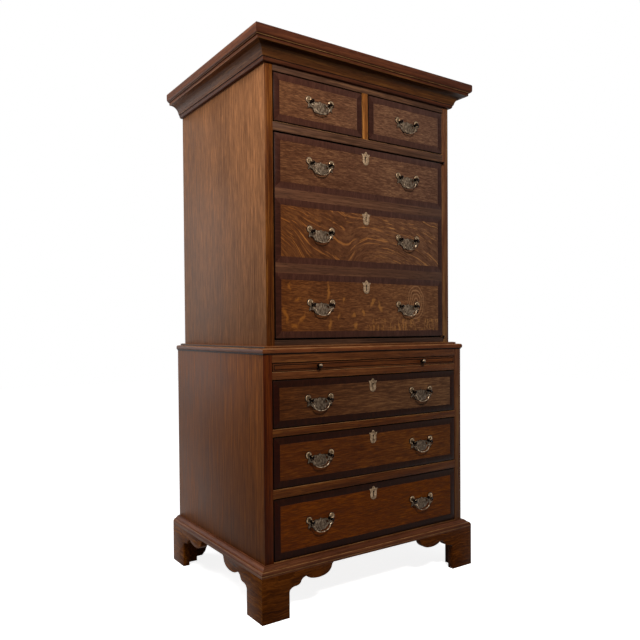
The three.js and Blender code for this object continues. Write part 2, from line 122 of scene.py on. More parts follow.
def joinPieces(pieces, name):
    startClean()
    for piece in pieces:
        piece.select_set(True)
    bpy.context.view_layer.objects.active = pieces[0]
    bpy.ops.object.join()
    pieces[0].name = name
    return pieces[0]


def copyPiece(piece, name, move):
    double = piece.copy()
    double.data = piece.data.copy()
    double.name = name
    bpy.context.scene.collection.objects.link(double)
    double.location = move
    return setPlace(double)


def addBlock(name, low, high, ease=0):
    startClean()
    low, high = Vector(low), Vector(high)
    bpy.ops.mesh.primitive_cube_add(size=1, location=(low + high) / 2)
    block = bpy.context.object
    block.name = name
    block.scale = high - low
    setPlace(block)
    if ease:
        easeEdges(block, ease)
    return block


# Paints the whole piece with the first material, and with the others where their tests pass
def paint(piece, material, *rules):
    piece.data.materials.clear()
    piece.data.materials.append(material)
    for face in piece.data.polygons:
        face.material_index = 0
    for index, (other, test) in enumerate(rules, start=1):
        piece.data.materials.append(other)
        for face in piece.data.polygons:
            if test(face):
                face.material_index = index


def finishPiece(piece, body, nodes=(), smooth=32):
    choose(piece)
    bpy.ops.object.shade_smooth_by_angle(angle=math.radians(smooth))
    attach(piece, body)
    if nodes:
        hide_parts(*nodes)
    return piece


def meshCurve(name, curve):
    drawing = bpy.data.objects.new(name, curve)
    bpy.context.scene.collection.objects.link(drawing)
    choose(drawing)
    bpy.ops.object.convert(target="MESH")
    return bpy.context.object


# A flat outline in X and Y. A row of two shares is a straight run to that point, and a row of
# four is a curve that bends towards its first point and ends at its second.
def drawOutline(name, width, height, outlines, steps, depth=0, ease=0):
    startClean()
    curve = bpy.data.curves.new(name, "CURVE")
    curve.dimensions = "2D"
    curve.resolution_u = steps
    curve.fill_mode = "BOTH" if depth else "NONE"
    curve.extrude = max(depth / 2 - ease, 0)
    curve.bevel_depth = ease
    curve.bevel_resolution = 1
    for rows in outlines:
        ends = [Vector((row[-2] * width, row[-1] * height, 0)) for row in rows]
        spline = curve.splines.new("BEZIER")
        spline.bezier_points.add(len(rows) - 1)
        spline.use_cyclic_u = True
        for index, row in enumerate(rows):
            point, before = spline.bezier_points[index], spline.bezier_points[index - 1]
            point.co = ends[index]
            if len(row) == 2:
                before.handle_right_type = point.handle_left_type = "VECTOR"
                continue
            bend = Vector((row[0] * width, row[1] * height, 0))
            before.handle_right_type = point.handle_left_type = "FREE"
            before.handle_right = ends[index - 1].lerp(bend, 2 / 3)
            point.handle_left = ends[index].lerp(bend, 2 / 3)
    return meshCurve(name, curve)


# A ball that ends a rod or stands for a pin's head
def addBall(place, radius, segments):
    startClean()
    bpy.ops.mesh.primitive_uv_sphere_add(segments=segments, ring_count=8, radius=radius,
                                         location=place)
    return setPlace(bpy.context.object)


# Stands a piece up, so that its Y becomes Z and its Z points to the front
def standUp(piece, place=(0, 0, 0), turn=0.0):
    piece.rotation_euler = (math.pi / 2, 0, turn)
    piece.location = place
    return setPlace(piece)


# Adds the other half of an outline that starts and ends on its middle line
def mirrorRows(rows):
    other = []
    for row, before in zip(reversed(rows[1:]), reversed(rows[:-1])):
        bend = [-row[0], row[1]] if len(row) == 4 else []
        other.append([*bend, -before[-2], before[-1]])
    return rows + other


# Turns a profile in X (radius) and Z about the Z axis
def turnProfile(name, rows, radius, length, sides):
    profile = drawOutline(name, radius, length, [rows], steps=6)
    standUp(profile)
    pick(profile, "EDGE", lambda edge: all(abs(vert.co.x) < hair for vert in edge.verts))
    bpy.ops.mesh.delete(type="EDGE_FACE")
    bpy.ops.mesh.select_all(action="SELECT")
    bpy.ops.mesh.spin(steps=sides, angle=2 * math.pi, center=(0, 0, 0), axis=(0, 0, 1))
    closeUp(profile)
    return profile


# Materials
def linearColour(code):
    parts = [int(code[place:place + 2], 16) / 255 for place in (0, 2, 4)]
    return (*(part / 12.92 if part <= 0.04045 else ((part + 0.055) / 1.055) ** 2.4
              for part in parts), 1)


# A colour ramp's places, each with a colour or a shade of grey
def setStops(elements, stops):
    while len(elements) < len(stops):
        elements.new(0.5)
    for element, (place, colour) in zip(elements, stops):
        element.position = place
        element.color = linearColour(colour) if isinstance(colour, str) else (colour,) * 3 + (1,)


# Adds a node. A value that is a node, or one of its sockets, is linked, and any other is set.
def addNode(tree, kind, values=None, stops=(), **settings):
    node = tree.nodes.new(kind)
    for setting, value in settings.items():
        setattr(node, setting, value)
    if stops:
        setStops(node.color_ramp.elements, stops)
    sockets = [socket for socket in node.inputs if socket.enabled]
    for key, value in (values or {}).items():
        if isinstance(key, int):
            socket = sockets[key]
        else:
            socket = next(one for one in sockets if one.name == key)
        if isinstance(value, bpy.types.Node):
            value = next(one for one in value.outputs if one.enabled)
        if isinstance(value, bpy.types.NodeSocket):
            tree.links.new(value, socket)
        else:
            socket.default_value = value
    return node


# Cells of a pattern that is long with the grain and narrow across it, in millimetres
def cells(axis, across, along):
    return tuple(1 / ((along if axis == name else across) * mm) for name in "xyz")


def addPattern(tree, place, axis, across, along, seed, detail=3.0):
    spread = addNode(tree, "ShaderNodeMapping", {
        "Vector": place, "Location": (seed, seed * 0.7, seed * 1.3),
        "Scale": cells(axis, across, along)})
    return addNode(tree, "ShaderNodeTexNoise", {
        "Vector": spread, "Scale": 1.0, "Detail": detail, "Roughness": 0.6})


# Moves a place about by a soft noise, so that a line through it wanders. The size and the length
# of its bends are in millimetres.
def addWander(tree, place, size, length):
    drift = addNode(tree, "ShaderNodeTexNoise", {
        "Vector": place, "Scale": 1 / (length * mm), "Detail": 2.0})
    drift = addNode(tree, "ShaderNodeVectorMath", {0: drift.outputs["Color"], 1: (0.5, 0.5, 0.5)},
                    operation="SUBTRACT")
    return addNode(tree, "ShaderNodeVectorMath", {0: drift, 1: (size * mm,) * 3, 2: place},
                   operation="MULTIPLY_ADD").outputs[0]


def layOver(tree, base, mask, amount, colour):
    share = addNode(tree, "ShaderNodeMath", {0: mask, 1: amount}, operation="MULTIPLY")
    return addNode(tree, "ShaderNodeMix", {"Factor": share, "A": base, "B": linearColour(colour)},
                   data_type="RGBA")


def startMaterial(name):
    material = bpy.data.materials.new(name)
    material.use_nodes = True
    material.node_tree.nodes.clear()
    return material, material.node_tree


# Multiplies a colour by one tint at the left of the front and by another at its right: a change of
# tone across the face, and a painted sheen, a reflection of pale light that leaves the right greyer
def addTintAndSheen(tree, place, colour, leftTint, rightTint):
    x = addNode(tree, "ShaderNodeSeparateXYZ", {0: place}).outputs["X"]
    across = addNode(tree, "ShaderNodeCombineXYZ", {0: x, 1: x, 2: x})
    tint = addNode(tree, "ShaderNodeMapRange", {
        "Vector": across, "From Min": (-openingHalf,) * 3, "From Max": (openingHalf,) * 3,
        "To Min": leftTint, "To Max": rightTint}, data_type="FLOAT_VECTOR")
    return addNode(tree, "ShaderNodeVectorMath", {0: colour, 1: tint}, operation="MULTIPLY")


# What every wood has unless its own values say otherwise. Tones run from dark to light, and sizes
# are in millimetres. Layers are (width across the grain, length along it, share of the whole),
# and pores (width, length, depth of tone). Gloss says how far the roughness falls and rises with
# the shade.
anyWood = {
    "seed": 0, "layerSeed": 11, "poreSeed": 53, "contrast": 3.8, "wander": 5, "wanderLength": 160,
    "pores": (2.6, 34, 0.5), "poreEdge": (0.53, 0.64), "relief": 0.2, "bumpDepth": 0.4,
    "roughness": 0.34, "gloss": (-0.05, 0.07), "specular": 0.03, "figures": []}


def makeWood(name, ownLook):
    look = {**anyWood, **ownLook}
    material, tree = startMaterial(name)
    axis, seed, contrast = look["axis"], look["seed"], look["contrast"]
    place = addNode(tree, "ShaderNodeTexCoord").outputs["Object"]
    run = look["flow"](tree, place) if "flow" in look else place
    run = addWander(tree, run, look["wander"], look["wanderLength"])
    shade = 0.5 - 0.5 * contrast
    for index, (across, along, share) in enumerate(look["layers"]):
        layer = addPattern(tree, run, axis, across, along, seed + look["layerSeed"] * index)
        shade = addNode(tree, "ShaderNodeMath", {0: layer, 1: share * contrast, 2: shade},
                        operation="MULTIPLY_ADD")
    colour = addNode(tree, "ShaderNodeValToRGB", {"Fac": shade},
                     stops=list(zip((0.0, 0.5, 1.0), look["tones"])))

    # Pores: short dark strokes where the growth rings are cut
    across, along, depth = look["pores"]
    clear, dark = look["poreEdge"]
    pores = addPattern(tree, run, axis, across, along, seed + look["poreSeed"], detail=2.0)
    poreMask = addNode(tree, "ShaderNodeValToRGB", {"Fac": pores},
                       stops=[(clear, 0.0), (dark, 1.0)])
    colour = layOver(tree, colour, poreMask, depth, look["pore"])
    for addFigure in look["figures"]:
        colour = addFigure(tree, place, run, colour)
    if "tintAndSheen" in look:
        colour = addTintAndSheen(tree, place, colour, *look["tintAndSheen"])

    grain = addNode(tree, "ShaderNodeMath", {0: shade, 1: poreMask}, operation="SUBTRACT")
    bump = addNode(tree, "ShaderNodeBump", {
        "Height": grain, "Strength": look["relief"], "Distance": look["bumpDepth"] * mm})
    least, most = (look["roughness"] + change for change in look["gloss"])
    rough = addNode(tree, "ShaderNodeMapRange", {"Value": shade, "To Min": least, "To Max": most})
    shader = addNode(tree, "ShaderNodeBsdfPrincipled", {
        "Base Color": colour, "Roughness": rough, "Normal": bump,
        "Specular IOR Level": look["specular"]})
    addNode(tree, "ShaderNodeOutputMaterial", {"Surface": shader})
    return material


# The second dummy drawer's field. Its hills say where one strong line of the grain runs, in
# shares of width and height, and its slope how much the grain falls along the top. Its streaks
# are the bright lines of the flame, wherever a noise is over the limit.
flameLook = {
    "hills": [(0.0, 0.8), (0.07, 0.6), (0.17, 0.3), (0.26, 0.22), (0.37, 0.16), (0.45, 0.3),
              (0.53, 0.41), (0.65, 0.41), (0.74, 0.33), (0.83, 0.24), (1.0, 0.02)],
    "slope": -0.38, "streakEdge": 0.07, "streaks": [
        {"colour": "8a582e", "amount": 0.7, "across": 2.6, "along": 190, "limit": 0.575, "seed": 5},
        {"colour": "a06a38", "amount": 0.6, "across": 3.8, "along": 130, "limit": 0.64, "seed": 8}]}


def streakFigure(look):
    def addStreaks(tree, place, run, base):
        streaks = addPattern(tree, run, "x", look["across"], look["along"], look["seed"])
        limit, full = look["limit"], look["limit"] + flameLook["streakEdge"]
        mask = addNode(tree, "ShaderNodeValToRGB", {"Fac": streaks},
                       stops=[(limit, 0.0), (full, 1.0)])
        return layOver(tree, base, mask, look["amount"], look["colour"])
    return addStreaks


# Places in a drawer's face, given as shares of its width and height
def shareOf(panel, x, z):
    left, right, bottom, top = panel
    return left + (right - left) * x, bottom + (top - bottom) * z


# How far a place is from a spot's middle, in the spot's own half width and half height, and how
# much of the spot shows there: all of it up to the first distance and nothing past the second
def aroundSpot(tree, place, panel, spot, fade):
    x, z, halfWidth, halfHeight, slant = spot
    middleX, middleZ = shareOf(panel, x, z)
    local = addNode(tree, "ShaderNodeMapping", {
        "Vector": place, "Location": (middleX, 0, middleZ), "Rotation": (0, math.radians(slant), 0),
        "Scale": (halfWidth * mm, 100, halfHeight * mm)}, vector_type="TEXTURE")
    away = addNode(tree, "ShaderNodeVectorMath", {0: local}, operation="LENGTH").outputs["Value"]
    full, gone = fade
    return away, addNode(tree, "ShaderNodeMapRange", {
        "Value": away, "From Min": full, "From Max": gone, "To Min": 1.0, "To Max": 0.0})


# The third dummy drawer's field has single broad ray flakes, a swirl of fine rings round a
# knot's shoulder, and upright strokes in its lower right corner. Each flake, and the swirl's
# spot, is x and z in shares, half width and half height in millimetres, and slant in degrees.
# Bends and frays are the size and length of a wander.
flakeLook = {
    "colour": "96622f", "amount": 0.7, "bend": (26, 24), "fray": (9, 6), "fade": (0.3, 1.15),
    "flakes": [
        (0.27, 0.8, 5, 28, 3), (0.05, 0.88, 6, 12, 0), (0.1, 0.62, 12, 6, -20),
        (0.03, 0.32, 7, 26, -20), (0.12, 0.26, 6, 24, 35), (0.28, 0.14, 7, 18, 10),
        (0.42, 0.32, 9, 12, 20), (0.43, 0.12, 9, 11, -10), (0.54, 0.6, 7, 15, 25),
        (0.59, 0.52, 8, 17, -30), (0.2, 0.42, 6, 12, 40), (0.36, 0.66, 5, 10, 0),
        (0.08, 0.12, 14, 9, 15), (0.48, 0.4, 6, 12, -25), (0.33, 0.3, 5, 14, 15)]}
swirlLook = {"colour": "906440", "amount": 0.6, "spot": (0.83, 0.62, 42, 62, 0), "rings": 5,
             "bend": (14, 30), "line": (0.1, 0.9), "fade": (0.8, 1.1)}
strokeLook = {"colour": "986432", "amount": 0.55, "rightOf": 0.5, "below": 0.27, "across": 5,
              "along": 44, "bend": (18, 30), "line": (0.53, 0.6), "seed": 4}


def flakeFigure(look, panel):
    def addFlakes(tree, place, run, base):
        ragged = addWander(tree, addWander(tree, place, *look["bend"]), *look["fray"])
        mask = 0.0
        for spot in look["flakes"]:
            away, flake = aroundSpot(tree, ragged, panel, spot, look["fade"])
            mask = addNode(tree, "ShaderNodeMath", {0: flake, 1: mask}, operation="MAXIMUM")
        return layOver(tree, base, mask, look["amount"], look["colour"])
    return addFlakes


def swirlFigure(look, panel):
    def addSwirl(tree, place, run, base):
        wavy = addWander(tree, place, *look["bend"])
        away, shown = aroundSpot(tree, wavy, panel, look["spot"], look["fade"])
        turn = addNode(tree, "ShaderNodeMath", {0: away, 1: look["rings"] * 2 * math.pi},
                       operation="MULTIPLY")
        wave = addNode(tree, "ShaderNodeMath", {0: turn}, operation="SINE")
        clear, full = look["line"]
        line = addNode(tree, "ShaderNodeMapRange", {
            "Value": wave, "From Min": clear, "From Max": full})
        mask = addNode(tree, "ShaderNodeMath", {0: line, 1: shown}, operation="MULTIPLY")
        return layOver(tree, base, mask, look["amount"], look["colour"])
    return addSwirl


def strokeFigure(look, panel):
    def addStrokes(tree, place, run, base):
        edgeX, edgeZ = shareOf(panel, look["rightOf"], look["below"])
        parts = addNode(tree, "ShaderNodeSeparateXYZ", {0: place})
        right = addNode(tree, "ShaderNodeMath", {0: parts.outputs["X"], 1: edgeX},
                        operation="GREATER_THAN")
        below = addNode(tree, "ShaderNodeMath", {0: parts.outputs["Z"], 1: edgeZ},
                        operation="LESS_THAN")
        corner = addNode(tree, "ShaderNodeMath", {0: right, 1: below}, operation="MULTIPLY")
        wavy = addWander(tree, place, *look["bend"])
        strokes = addPattern(tree, wavy, "z", look["across"], look["along"], look["seed"])
        clear, full = look["line"]
        line = addNode(tree, "ShaderNodeValToRGB", {"Fac": strokes},
                       stops=[(clear, 0.0), (full, 1.0)])
        mask = addNode(tree, "ShaderNodeMath", {0: line, 1: corner}, operation="MULTIPLY")
        return layOver(tree, base, mask, look["amount"], look["colour"])
    return addStrokes


# Bends level grain into hills and hollows: low in the face it follows the hills, and high up
# the gentle slope
def flameFlow(look, panel):
    left, right, bottom, top = panel

    def addFlow(tree, place):
        parts = addNode(tree, "ShaderNodeSeparateXYZ", {0: place})
        across = addNode(tree, "ShaderNodeMapRange", {"Value": parts.outputs["X"],
                                                      "From Min": left, "From Max": right})
        upward = addNode(tree, "ShaderNodeMapRange", {"Value": parts.outputs["Z"],
                                                      "From Min": bottom, "From Max": top})
        low = addNode(tree, "ShaderNodeFloatCurve", {"Value": across})
        curve = low.mapping.curves[0]
        while len(curve.points) < len(look["hills"]):
            curve.points.new(0.5, 0.5)
        for point, share in zip(curve.points, look["hills"]):
            point.location = share
        low.mapping.update()
        high = addNode(tree, "ShaderNodeMath", {0: across, 1: look["slope"], 2: 1.0},
                       operation="MULTIPLY_ADD")
        rise = addNode(tree, "ShaderNodeMix", {"Factor": upward, "A": low, "B": high})
        level = addNode(tree, "ShaderNodeMath", {0: rise, 1: bottom - top, 2: parts.outputs["Z"]},
                        operation="MULTIPLY_ADD")
        return addNode(tree, "ShaderNodeCombineXYZ", {
            "X": parts.outputs["X"], "Y": parts.outputs["Y"], "Z": level}).outputs[0]
    return addFlow


# Oak, stained and waxed, with only a low sheen left: brown, darker in its pores and along the
# growth rings. Its open grain is about 1 mm wide and is drawn two or three times coarser, because
# a finer one doesn't show at this distance.
sideWood = {
    "axis": "z", "tones": ("5b3922", "7b5234", "9e6a44"), "pore": "53331e",
    "layers": [(8, 500, 0.25), (3.6, 50, 0.5), (120, 420, 0.25)], "pores": (2.8, 34, 0.45),
    "roughness": 0.42}
# Darker than the upper side: partly a darker stain, partly painted shade for light falling off
# downwards
lowerSideWood = {
    **sideWood, "tones": ("48260c", "633717", "804a20"), "pore": "42210a",
    "layers": [(7, 500, 0.25), (3.6, 120, 0.55), (120, 420, 0.2)], "pores": (3.2, 60, 0.5),
    "contrast": 4.4, "seed": 2}
stileWood = {
    "axis": "z", "tones": ("270f03", "452108", "6a3f17"), "pore": "1f0b03",
    "layers": [(8, 420, 0.4), (3.5, 150, 0.4), (40, 240, 0.2)]}
lowerStileWood = {**stileWood, "tones": ("240902", "3c1504", "552709"), "seed": 4}
rightStileWood = {**stileWood, "tones": ("32190f", "50301e", "6e4f2f"), "seed": 5}
dividerWood = {**stileWood, "tones": ("44250e", "6b3f1a", "9c6834"), "seed": 6,
               "layers": [(5, 300, 0.5), (3, 120, 0.3), (40, 240, 0.2)]}
railWood = {
    "axis": "x", "tones": ("2a1a0f", "422b1f", "62442e"), "pore": "23130a",
    "layers": [(7, 380, 0.4), (3.5, 120, 0.4), (60, 240, 0.2)]}
falseRailWood = {
    **railWood, "tones": ("342019", "492d20", "61402e"), "contrast": 2.6, "seed": 6,
    "tintAndSheen": ((0.97, 0.96, 0.85), (0.8, 0.93, 1.03))}
# Darker than the other rails: painted shade below the door
bottomRailWood = {**railWood, "tones": ("1f130b", "342117", "4c3423"), "seed": 11}
lowerRailWood = {**railWood, "tones": ("301504", "49250f", "643c19"), "seed": 8}
slideRailWood = {**railWood, "tones": ("361908", "512c15", "704524"), "seed": 9}
slideWood = {**railWood, "tones": ("2d1204", "46230e", "65381b"), "seed": 10}
# Pale arrises: partly wear where hands and dusters have rubbed the stain off, partly a painted
# highlight where light catches them. Dark edges and corners: painted shade of gaps, quirks and
# holes
highlightRubbedWood = {**railWood, "tones": ("54331c", "73502f", "8c6844"), "pore": "3f2511",
              "layers": [(3, 60, 0.5), (5, 25, 0.5)], "contrast": 3.0}
paintedShadeEdgeWood = {**railWood, "tones": ("0a0503", "140b07", "21130c"), "pore": "080402"}
# Mouldings, darker than the boards, with returns painted paler: painted light where the side light
# falls
corniceWood = {
    "axis": "x", "tones": ("200b04", "381a0d", "552f1a"), "pore": "180802",
    "layers": [(9, 420, 0.4), (4, 160, 0.4), (60, 260, 0.2)], "contrast": 2.2, "specular": 0.04}
coveWood = {**corniceWood, "tones": ("261104", "40230e", "613d1b"), "pore": "1c0d02",
            "contrast": 3.0}
coveSideWood = {**corniceWood, "axis": "y", "tones": ("452816", "6f4529", "a67346"),
                "pore": "381f10"}
mouldingSideWood = {
    **corniceWood, "axis": "y", "tones": ("381c0f", "5c331f", "8a5637"), "pore": "2d150b"}
waistWood = {**corniceWood, "tones": ("361a0a", "592f18", "83522a"), "pore": "2a1306"}
baseWood = {**corniceWood, "tones": ("291308", "462413", "683f25"), "pore": "200d04"}
# The feet's grain swirls, as in wood sawn from short offcuts
footWood = {**corniceWood, "tones": ("2f1304", "4b2407", "6d3a12"), "specular": 0.01,
            "wander": 26, "wanderLength": 70, "contrast": 3.4}
# The side brackets are paler: painted light where the side light falls
footSideWood = {**footWood, "axis": "y", "tones": ("452107", "6a380d", "97571a")}
# Quartered oak of the fields: short dark strokes and pale flakes, drawn as coarse as above
fieldWood = {
    "axis": "x", "tones": ("381f12", "533523", "795437"), "pore": "2e1a0f",
    "layers": [(2.8, 19, 0.52), (1.3, 8, 0.1), (10, 70, 0.2), (80, 220, 0.18)],
    "pores": (2.4, 17, 0.5), "wander": 6, "wanderLength": 45, "contrast": 3.3, "roughness": 0.36,
    "tintAndSheen": ((0.78, 0.69, 0.58), (0.84, 0.96, 1.22))}
lowerFieldWood = {
    **fieldWood, "layers": [(2.6, 34, 0.55), (1.3, 8, 0.05), (8, 110, 0.22), (80, 220, 0.18)],
    "pores": (2.2, 30, 0.5), "wander": 3, "wanderLength": 90}
# Mahogany crossbands, smooth and nearly black. Their grain runs across each strip: level on the
# upright strips and upright on the level ones.
uprightBandWood = {
    "axis": "x", "tones": ("1c0d09", "2f1911", "472b21"), "pore": "150806",
    "layers": [(7, 40, 0.5), (3.5, 18, 0.3), (40, 80, 0.2)], "pores": (2, 12, 0.3),
    "wander": 3, "contrast": 1.6, "roughness": 0.32,
    "tintAndSheen": ((0.82, 0.67, 0.6), (0.83, 0.93, 1.1))}
levelBandWood = {
    **uprightBandWood, "axis": "z", "tones": ("271510", "3b241b", "53362b")}
lowerUprightBandWood = {
    **uprightBandWood, "tones": ("120502", "220b04", "35170b"),
    "tintAndSheen": ((0.8, 0.56, 0.42), (0.84, 0.92, 1.05))}
lowerLevelBandWood = {
    **lowerUprightBandWood, "axis": "z", "tones": ("120804", "221008", "351e13")}
# Scrubbed pine of the inside: pale, dry and wide in the grain, with hardly any sheen
pineWood = {
    "axis": "x", "tones": ("8f6843", "b08a62", "c9a67e"), "pore": "7d5a39",
    "layers": [(20, 700, 0.4), (5, 300, 0.4), (120, 400, 0.2)], "pores": (2.4, 50, 0.25),
    "wander": 9, "contrast": 3.0, "roughness": 0.62, "specular": 0.15}


def makeWoods():
    flame, fleck = dummyPanel(1), dummyPanel(2)
    looks = {
        "side": ("waxed_oak_side", sideWood),
        "lowerSide": ("waxed_oak_lower_side", lowerSideWood),
        "stile": ("waxed_oak_stile", stileWood),
        "lowerStile": ("waxed_oak_lower_stile", lowerStileWood),
        "rightStile": ("waxed_oak_right_stile", rightStileWood),
        "divider": ("waxed_oak_divider", dividerWood),
        "rail": ("waxed_oak_rail", railWood),
        "falseRail": ("waxed_oak_false_rail", falseRailWood),
        "lowerRail": ("waxed_oak_lower_rail", lowerRailWood),
        "slideRail": ("waxed_oak_slide_rail", slideRailWood),
        "slide": ("waxed_oak_slide", slideWood),
        "rubbedHighlight": ("highlight_rubbed_oak_arris", highlightRubbedWood),
        "rubbedHighlightSide": ("highlight_rubbed_oak_arris_return", {**highlightRubbedWood, "axis": "y"}),
        "bottomRail": ("waxed_oak_bottom_rail", bottomRailWood),
        "cornice": ("waxed_oak_cornice", corniceWood),
        "corniceSide": ("waxed_oak_cornice_return", mouldingSideWood),
        "cove": ("waxed_oak_cove", coveWood),
        "coveSide": ("waxed_oak_cove_return", coveSideWood),
        "waist": ("waxed_oak_waist", waistWood),
        "waistSide": ("waxed_oak_waist_return", mouldingSideWood),
        "base": ("waxed_oak_base", baseWood),
        "baseSide": ("waxed_oak_base_return", mouldingSideWood),
        "foot": ("waxed_oak_foot", footWood),
        "footSide": ("waxed_oak_foot_return", footSideWood),
        "field": ("quartered_oak_field", fieldWood),
        "shortField": ("quartered_oak_short_field", {
            **fieldWood, "tones": ("3a2113", "553725", "7c573a"), "seed": 15}),
        "firstField": ("quartered_oak_first_field", {
            **lowerFieldWood, "tones": ("341d0d", "50311c", "734d2d"), "seed": 3,
            "tintAndSheen": ((0.58, 0.42, 0.25), (1.04, 1.22, 1.52))}),
        "secondField": ("quartered_oak_second_field", {
            **lowerFieldWood, "tones": ("381604", "52280d", "724018"), "seed": 7,
            "tintAndSheen": ((0.77, 0.71, 0.57), (0.9, 1.04, 1.1))}),
        "thirdField": ("quartered_oak_third_field", {
            **lowerFieldWood, "tones": ("3d1602", "582808", "7a3f12"), "seed": 12,
            "tintAndSheen": ((0.82, 0.78, 0.5), (0.82, 0.86, 0.34))}),
        "levelBand": ("mahogany_band_upright_grain", levelBandWood),
        "uprightBand": ("mahogany_band_level_grain", uprightBandWood),
        "lowerLevelBand": ("mahogany_lower_band_upright_grain", lowerLevelBandWood),
        "lowerUprightBand": ("mahogany_lower_band_level_grain", lowerUprightBandWood),
        "edge": ("painted_shade_oak_edge", paintedShadeEdgeWood),
        "pine": ("scrubbed_pine_boards", pineWood),
        "pineDepth": ("scrubbed_pine_drawer_sides", {**pineWood, "axis": "y", "seed": 5}),
        "pineUp": ("scrubbed_pine_back", {**pineWood, "axis": "z", "seed": 9}),
        "flame": ("flame_oak_field", {
            **fieldWood, "flow": flameFlow(flameLook, flame),
            "tones": ("351c0e", "4e2f1d", "6f492d"),
            "layers": [(3.0, 24, 0.45), (1.3, 16, 0.15), (9, 160, 0.25), (80, 220, 0.15)],
            "pores": (2.4, 16, 0.5), "contrast": 2.6, "wander": 8, "wanderLength": 70,
            "tintAndSheen": ((0.84, 0.69, 0.43), (0.98, 1.19, 1.54)),
            "figures": [streakFigure(streak) for streak in flameLook["streaks"]]}),
        "fleck": ("ray_fleck_oak_field", {
            **fieldWood, "tones": ("3d2210", "5a361f", "815431"),
            "tintAndSheen": ((0.66, 0.52, 0.31), (0.88, 1.04, 1.3)),
            "figures": [flakeFigure(flakeLook, fleck), swirlFigure(swirlLook, fleck),
                        strokeFigure(strokeLook, fleck)]})}
    return {name: makeWood(title, look) for name, (title, look) in looks.items()}


# Aged brass: rims rubbed bright, and chased hollows dull and olive. The posts are painted nearly
# black, as painted shade and a painted dark reflection. The lower case's handles are painted
# darker, as painted shade, each surface by its own shade. Patches of tarnish and chased lines are
# (across, along) in millimetres, and real chasing is two or three times finer than what shows here.
anyBrass = {"tarnish": (0.36, 0.5, 0.66), "tarnishSeed": 0, "chase": (3, 3), "chaseSeed": 3,
            "bumpDepth": 0.6, "gloss": (0.12, -0.08)}


def makeBrass(name, ownLook, shade=1.0):
    look = {**anyBrass, **ownLook}
    material, tree = startMaterial(name)
    place = addNode(tree, "ShaderNodeTexCoord").outputs["Object"]
    tarnish = addPattern(tree, place, "z", *look["patch"], look["tarnishSeed"], detail=4.0)
    colour = addNode(tree, "ShaderNodeValToRGB", {"Fac": tarnish},
                     stops=list(zip(look["tarnish"], look["tones"])))
    for element in colour.color_ramp.elements:
        element.color = [part * shade for part in element.color[:3]] + [1]
    chasing = addPattern(tree, place, "z", *look["chase"], look["chaseSeed"], detail=2.0)
    bump = addNode(tree, "ShaderNodeBump", {
        "Height": chasing, "Strength": look["relief"], "Distance": look["bumpDepth"] * mm})
    dull, bright = (look["roughness"] + change for change in look["gloss"])
    rough = addNode(tree, "ShaderNodeMapRange", {
        "Value": tarnish, "To Min": dull, "To Max": bright})
    shader = addNode(tree, "ShaderNodeBsdfPrincipled", {
        "Base Color": colour, "Metallic": 1.0, "Roughness": rough, "Normal": bump})
    addNode(tree, "ShaderNodeOutputMaterial", {"Surface": shader})
    return material


brassLooks = {
    "rim": {"tones": ("5c4936", "886f54", "b89e7e"), "patch": (6, 7),
            "relief": 0.15, "roughness": 0.34, "lowerShade": 0.78},
    "dull": {"tones": ("3a2c1e", "614e38", "86705a"), "patch": (5, 5),
             "relief": 0.3, "roughness": 0.45, "lowerShade": 0.6},
    "chased": {"tones": ("2a2018", "554638", "80705e"), "patch": (4, 9),
               "chase": (2.4, 9), "relief": 0.5, "roughness": 0.48, "lowerShade": 0.6},
    "bail": {"tones": ("352a20", "6e5c4a", "b49e82"), "patch": (9, 9), "chase": (4, 4),
             "relief": 0.1, "roughness": 0.3, "lowerShade": 0.85},
    "shield": {"tones": ("5d4a38", "806a52", "9c8268"), "patch": (6, 6),
               "relief": 0.2, "roughness": 0.5, "lowerShade": 0.72},
    "post": {"tones": ("050302", "0a0604", "1c130d"), "patch": (5, 5),
             "relief": 0.1, "roughness": 0.24, "lowerShade": 0.6}}


# Case boards and rails: each stands where its node does, with eased edges. The sides' front
# edges show as stiles, each with a wood of its own.
boardLook = {
    "ease": 0.9 * mm, "sideEase": 1.6 * mm,
    "woods": {
        "upper_side_left": "side", "upper_side_right": "side", "lower_side_left": "lowerSide",
        "lower_side_right": "lowerSide", "upper_top_board": "cornice", "upper_top_rail": "rail",
        "short_drawer_divider": "divider", "upper_middle_rail": "rail",
        "upper_bottom_board": "bottomRail", "lower_top_rail": "slideRail",
        "slide_rail": "slideRail", "long_drawer_rail_1": "lowerRail",
        "long_drawer_rail_2": "lowerRail", "base_rail": "lowerRail", "upper_dustboard": "pine",
        "cupboard_shelf": "pine", "lower_top_board": "pine", "lower_bottom_board": "pine",
        "slide_dustboard": "pine", "long_drawer_dustboard_1": "pine",
        "long_drawer_dustboard_2": "pine"},
    "stiles": {
        "upper_side_left": "stile", "upper_side_right": "rightStile",
        "lower_side_left": "lowerStile", "lower_side_right": "rightStile"}}


# Which way a face looks: straight to the front, mostly to it, or at least leaning to it
def isFlatFront(face):
    return face.normal.y < -0.99


def isFront(face):
    return face.normal.y < -0.5


def leansFront(face):
    return face.normal.y < -0.3


def addBoards():
    for node, wood in boardLook["woods"].items():
        low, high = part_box(node)
        rules, ease = [], boardLook["ease"]
        if node in boardLook["stiles"]:
            rules = [(woods[boardLook["stiles"][node]], leansFront)]
            ease = boardLook["sideEase"]
        elif "rail" in node:
            # The upper edge of its face, painted pale: a painted highlight where light from above
            # catches it, and rubbed wear
            rules = [(woods["rubbedHighlight"], lambda face: leansFront(face) and face.normal.z > 0.3)]
        piece = addBlock(node + "_wood", low, high, ease)
        paint(piece, woods[wood], *rules)
        finishPiece(piece, "carcass", [node])


# Backs of upright pine boards, each with eased edges so that the joints show
backLook = {"boards": 6, "ease": 3 * mm}


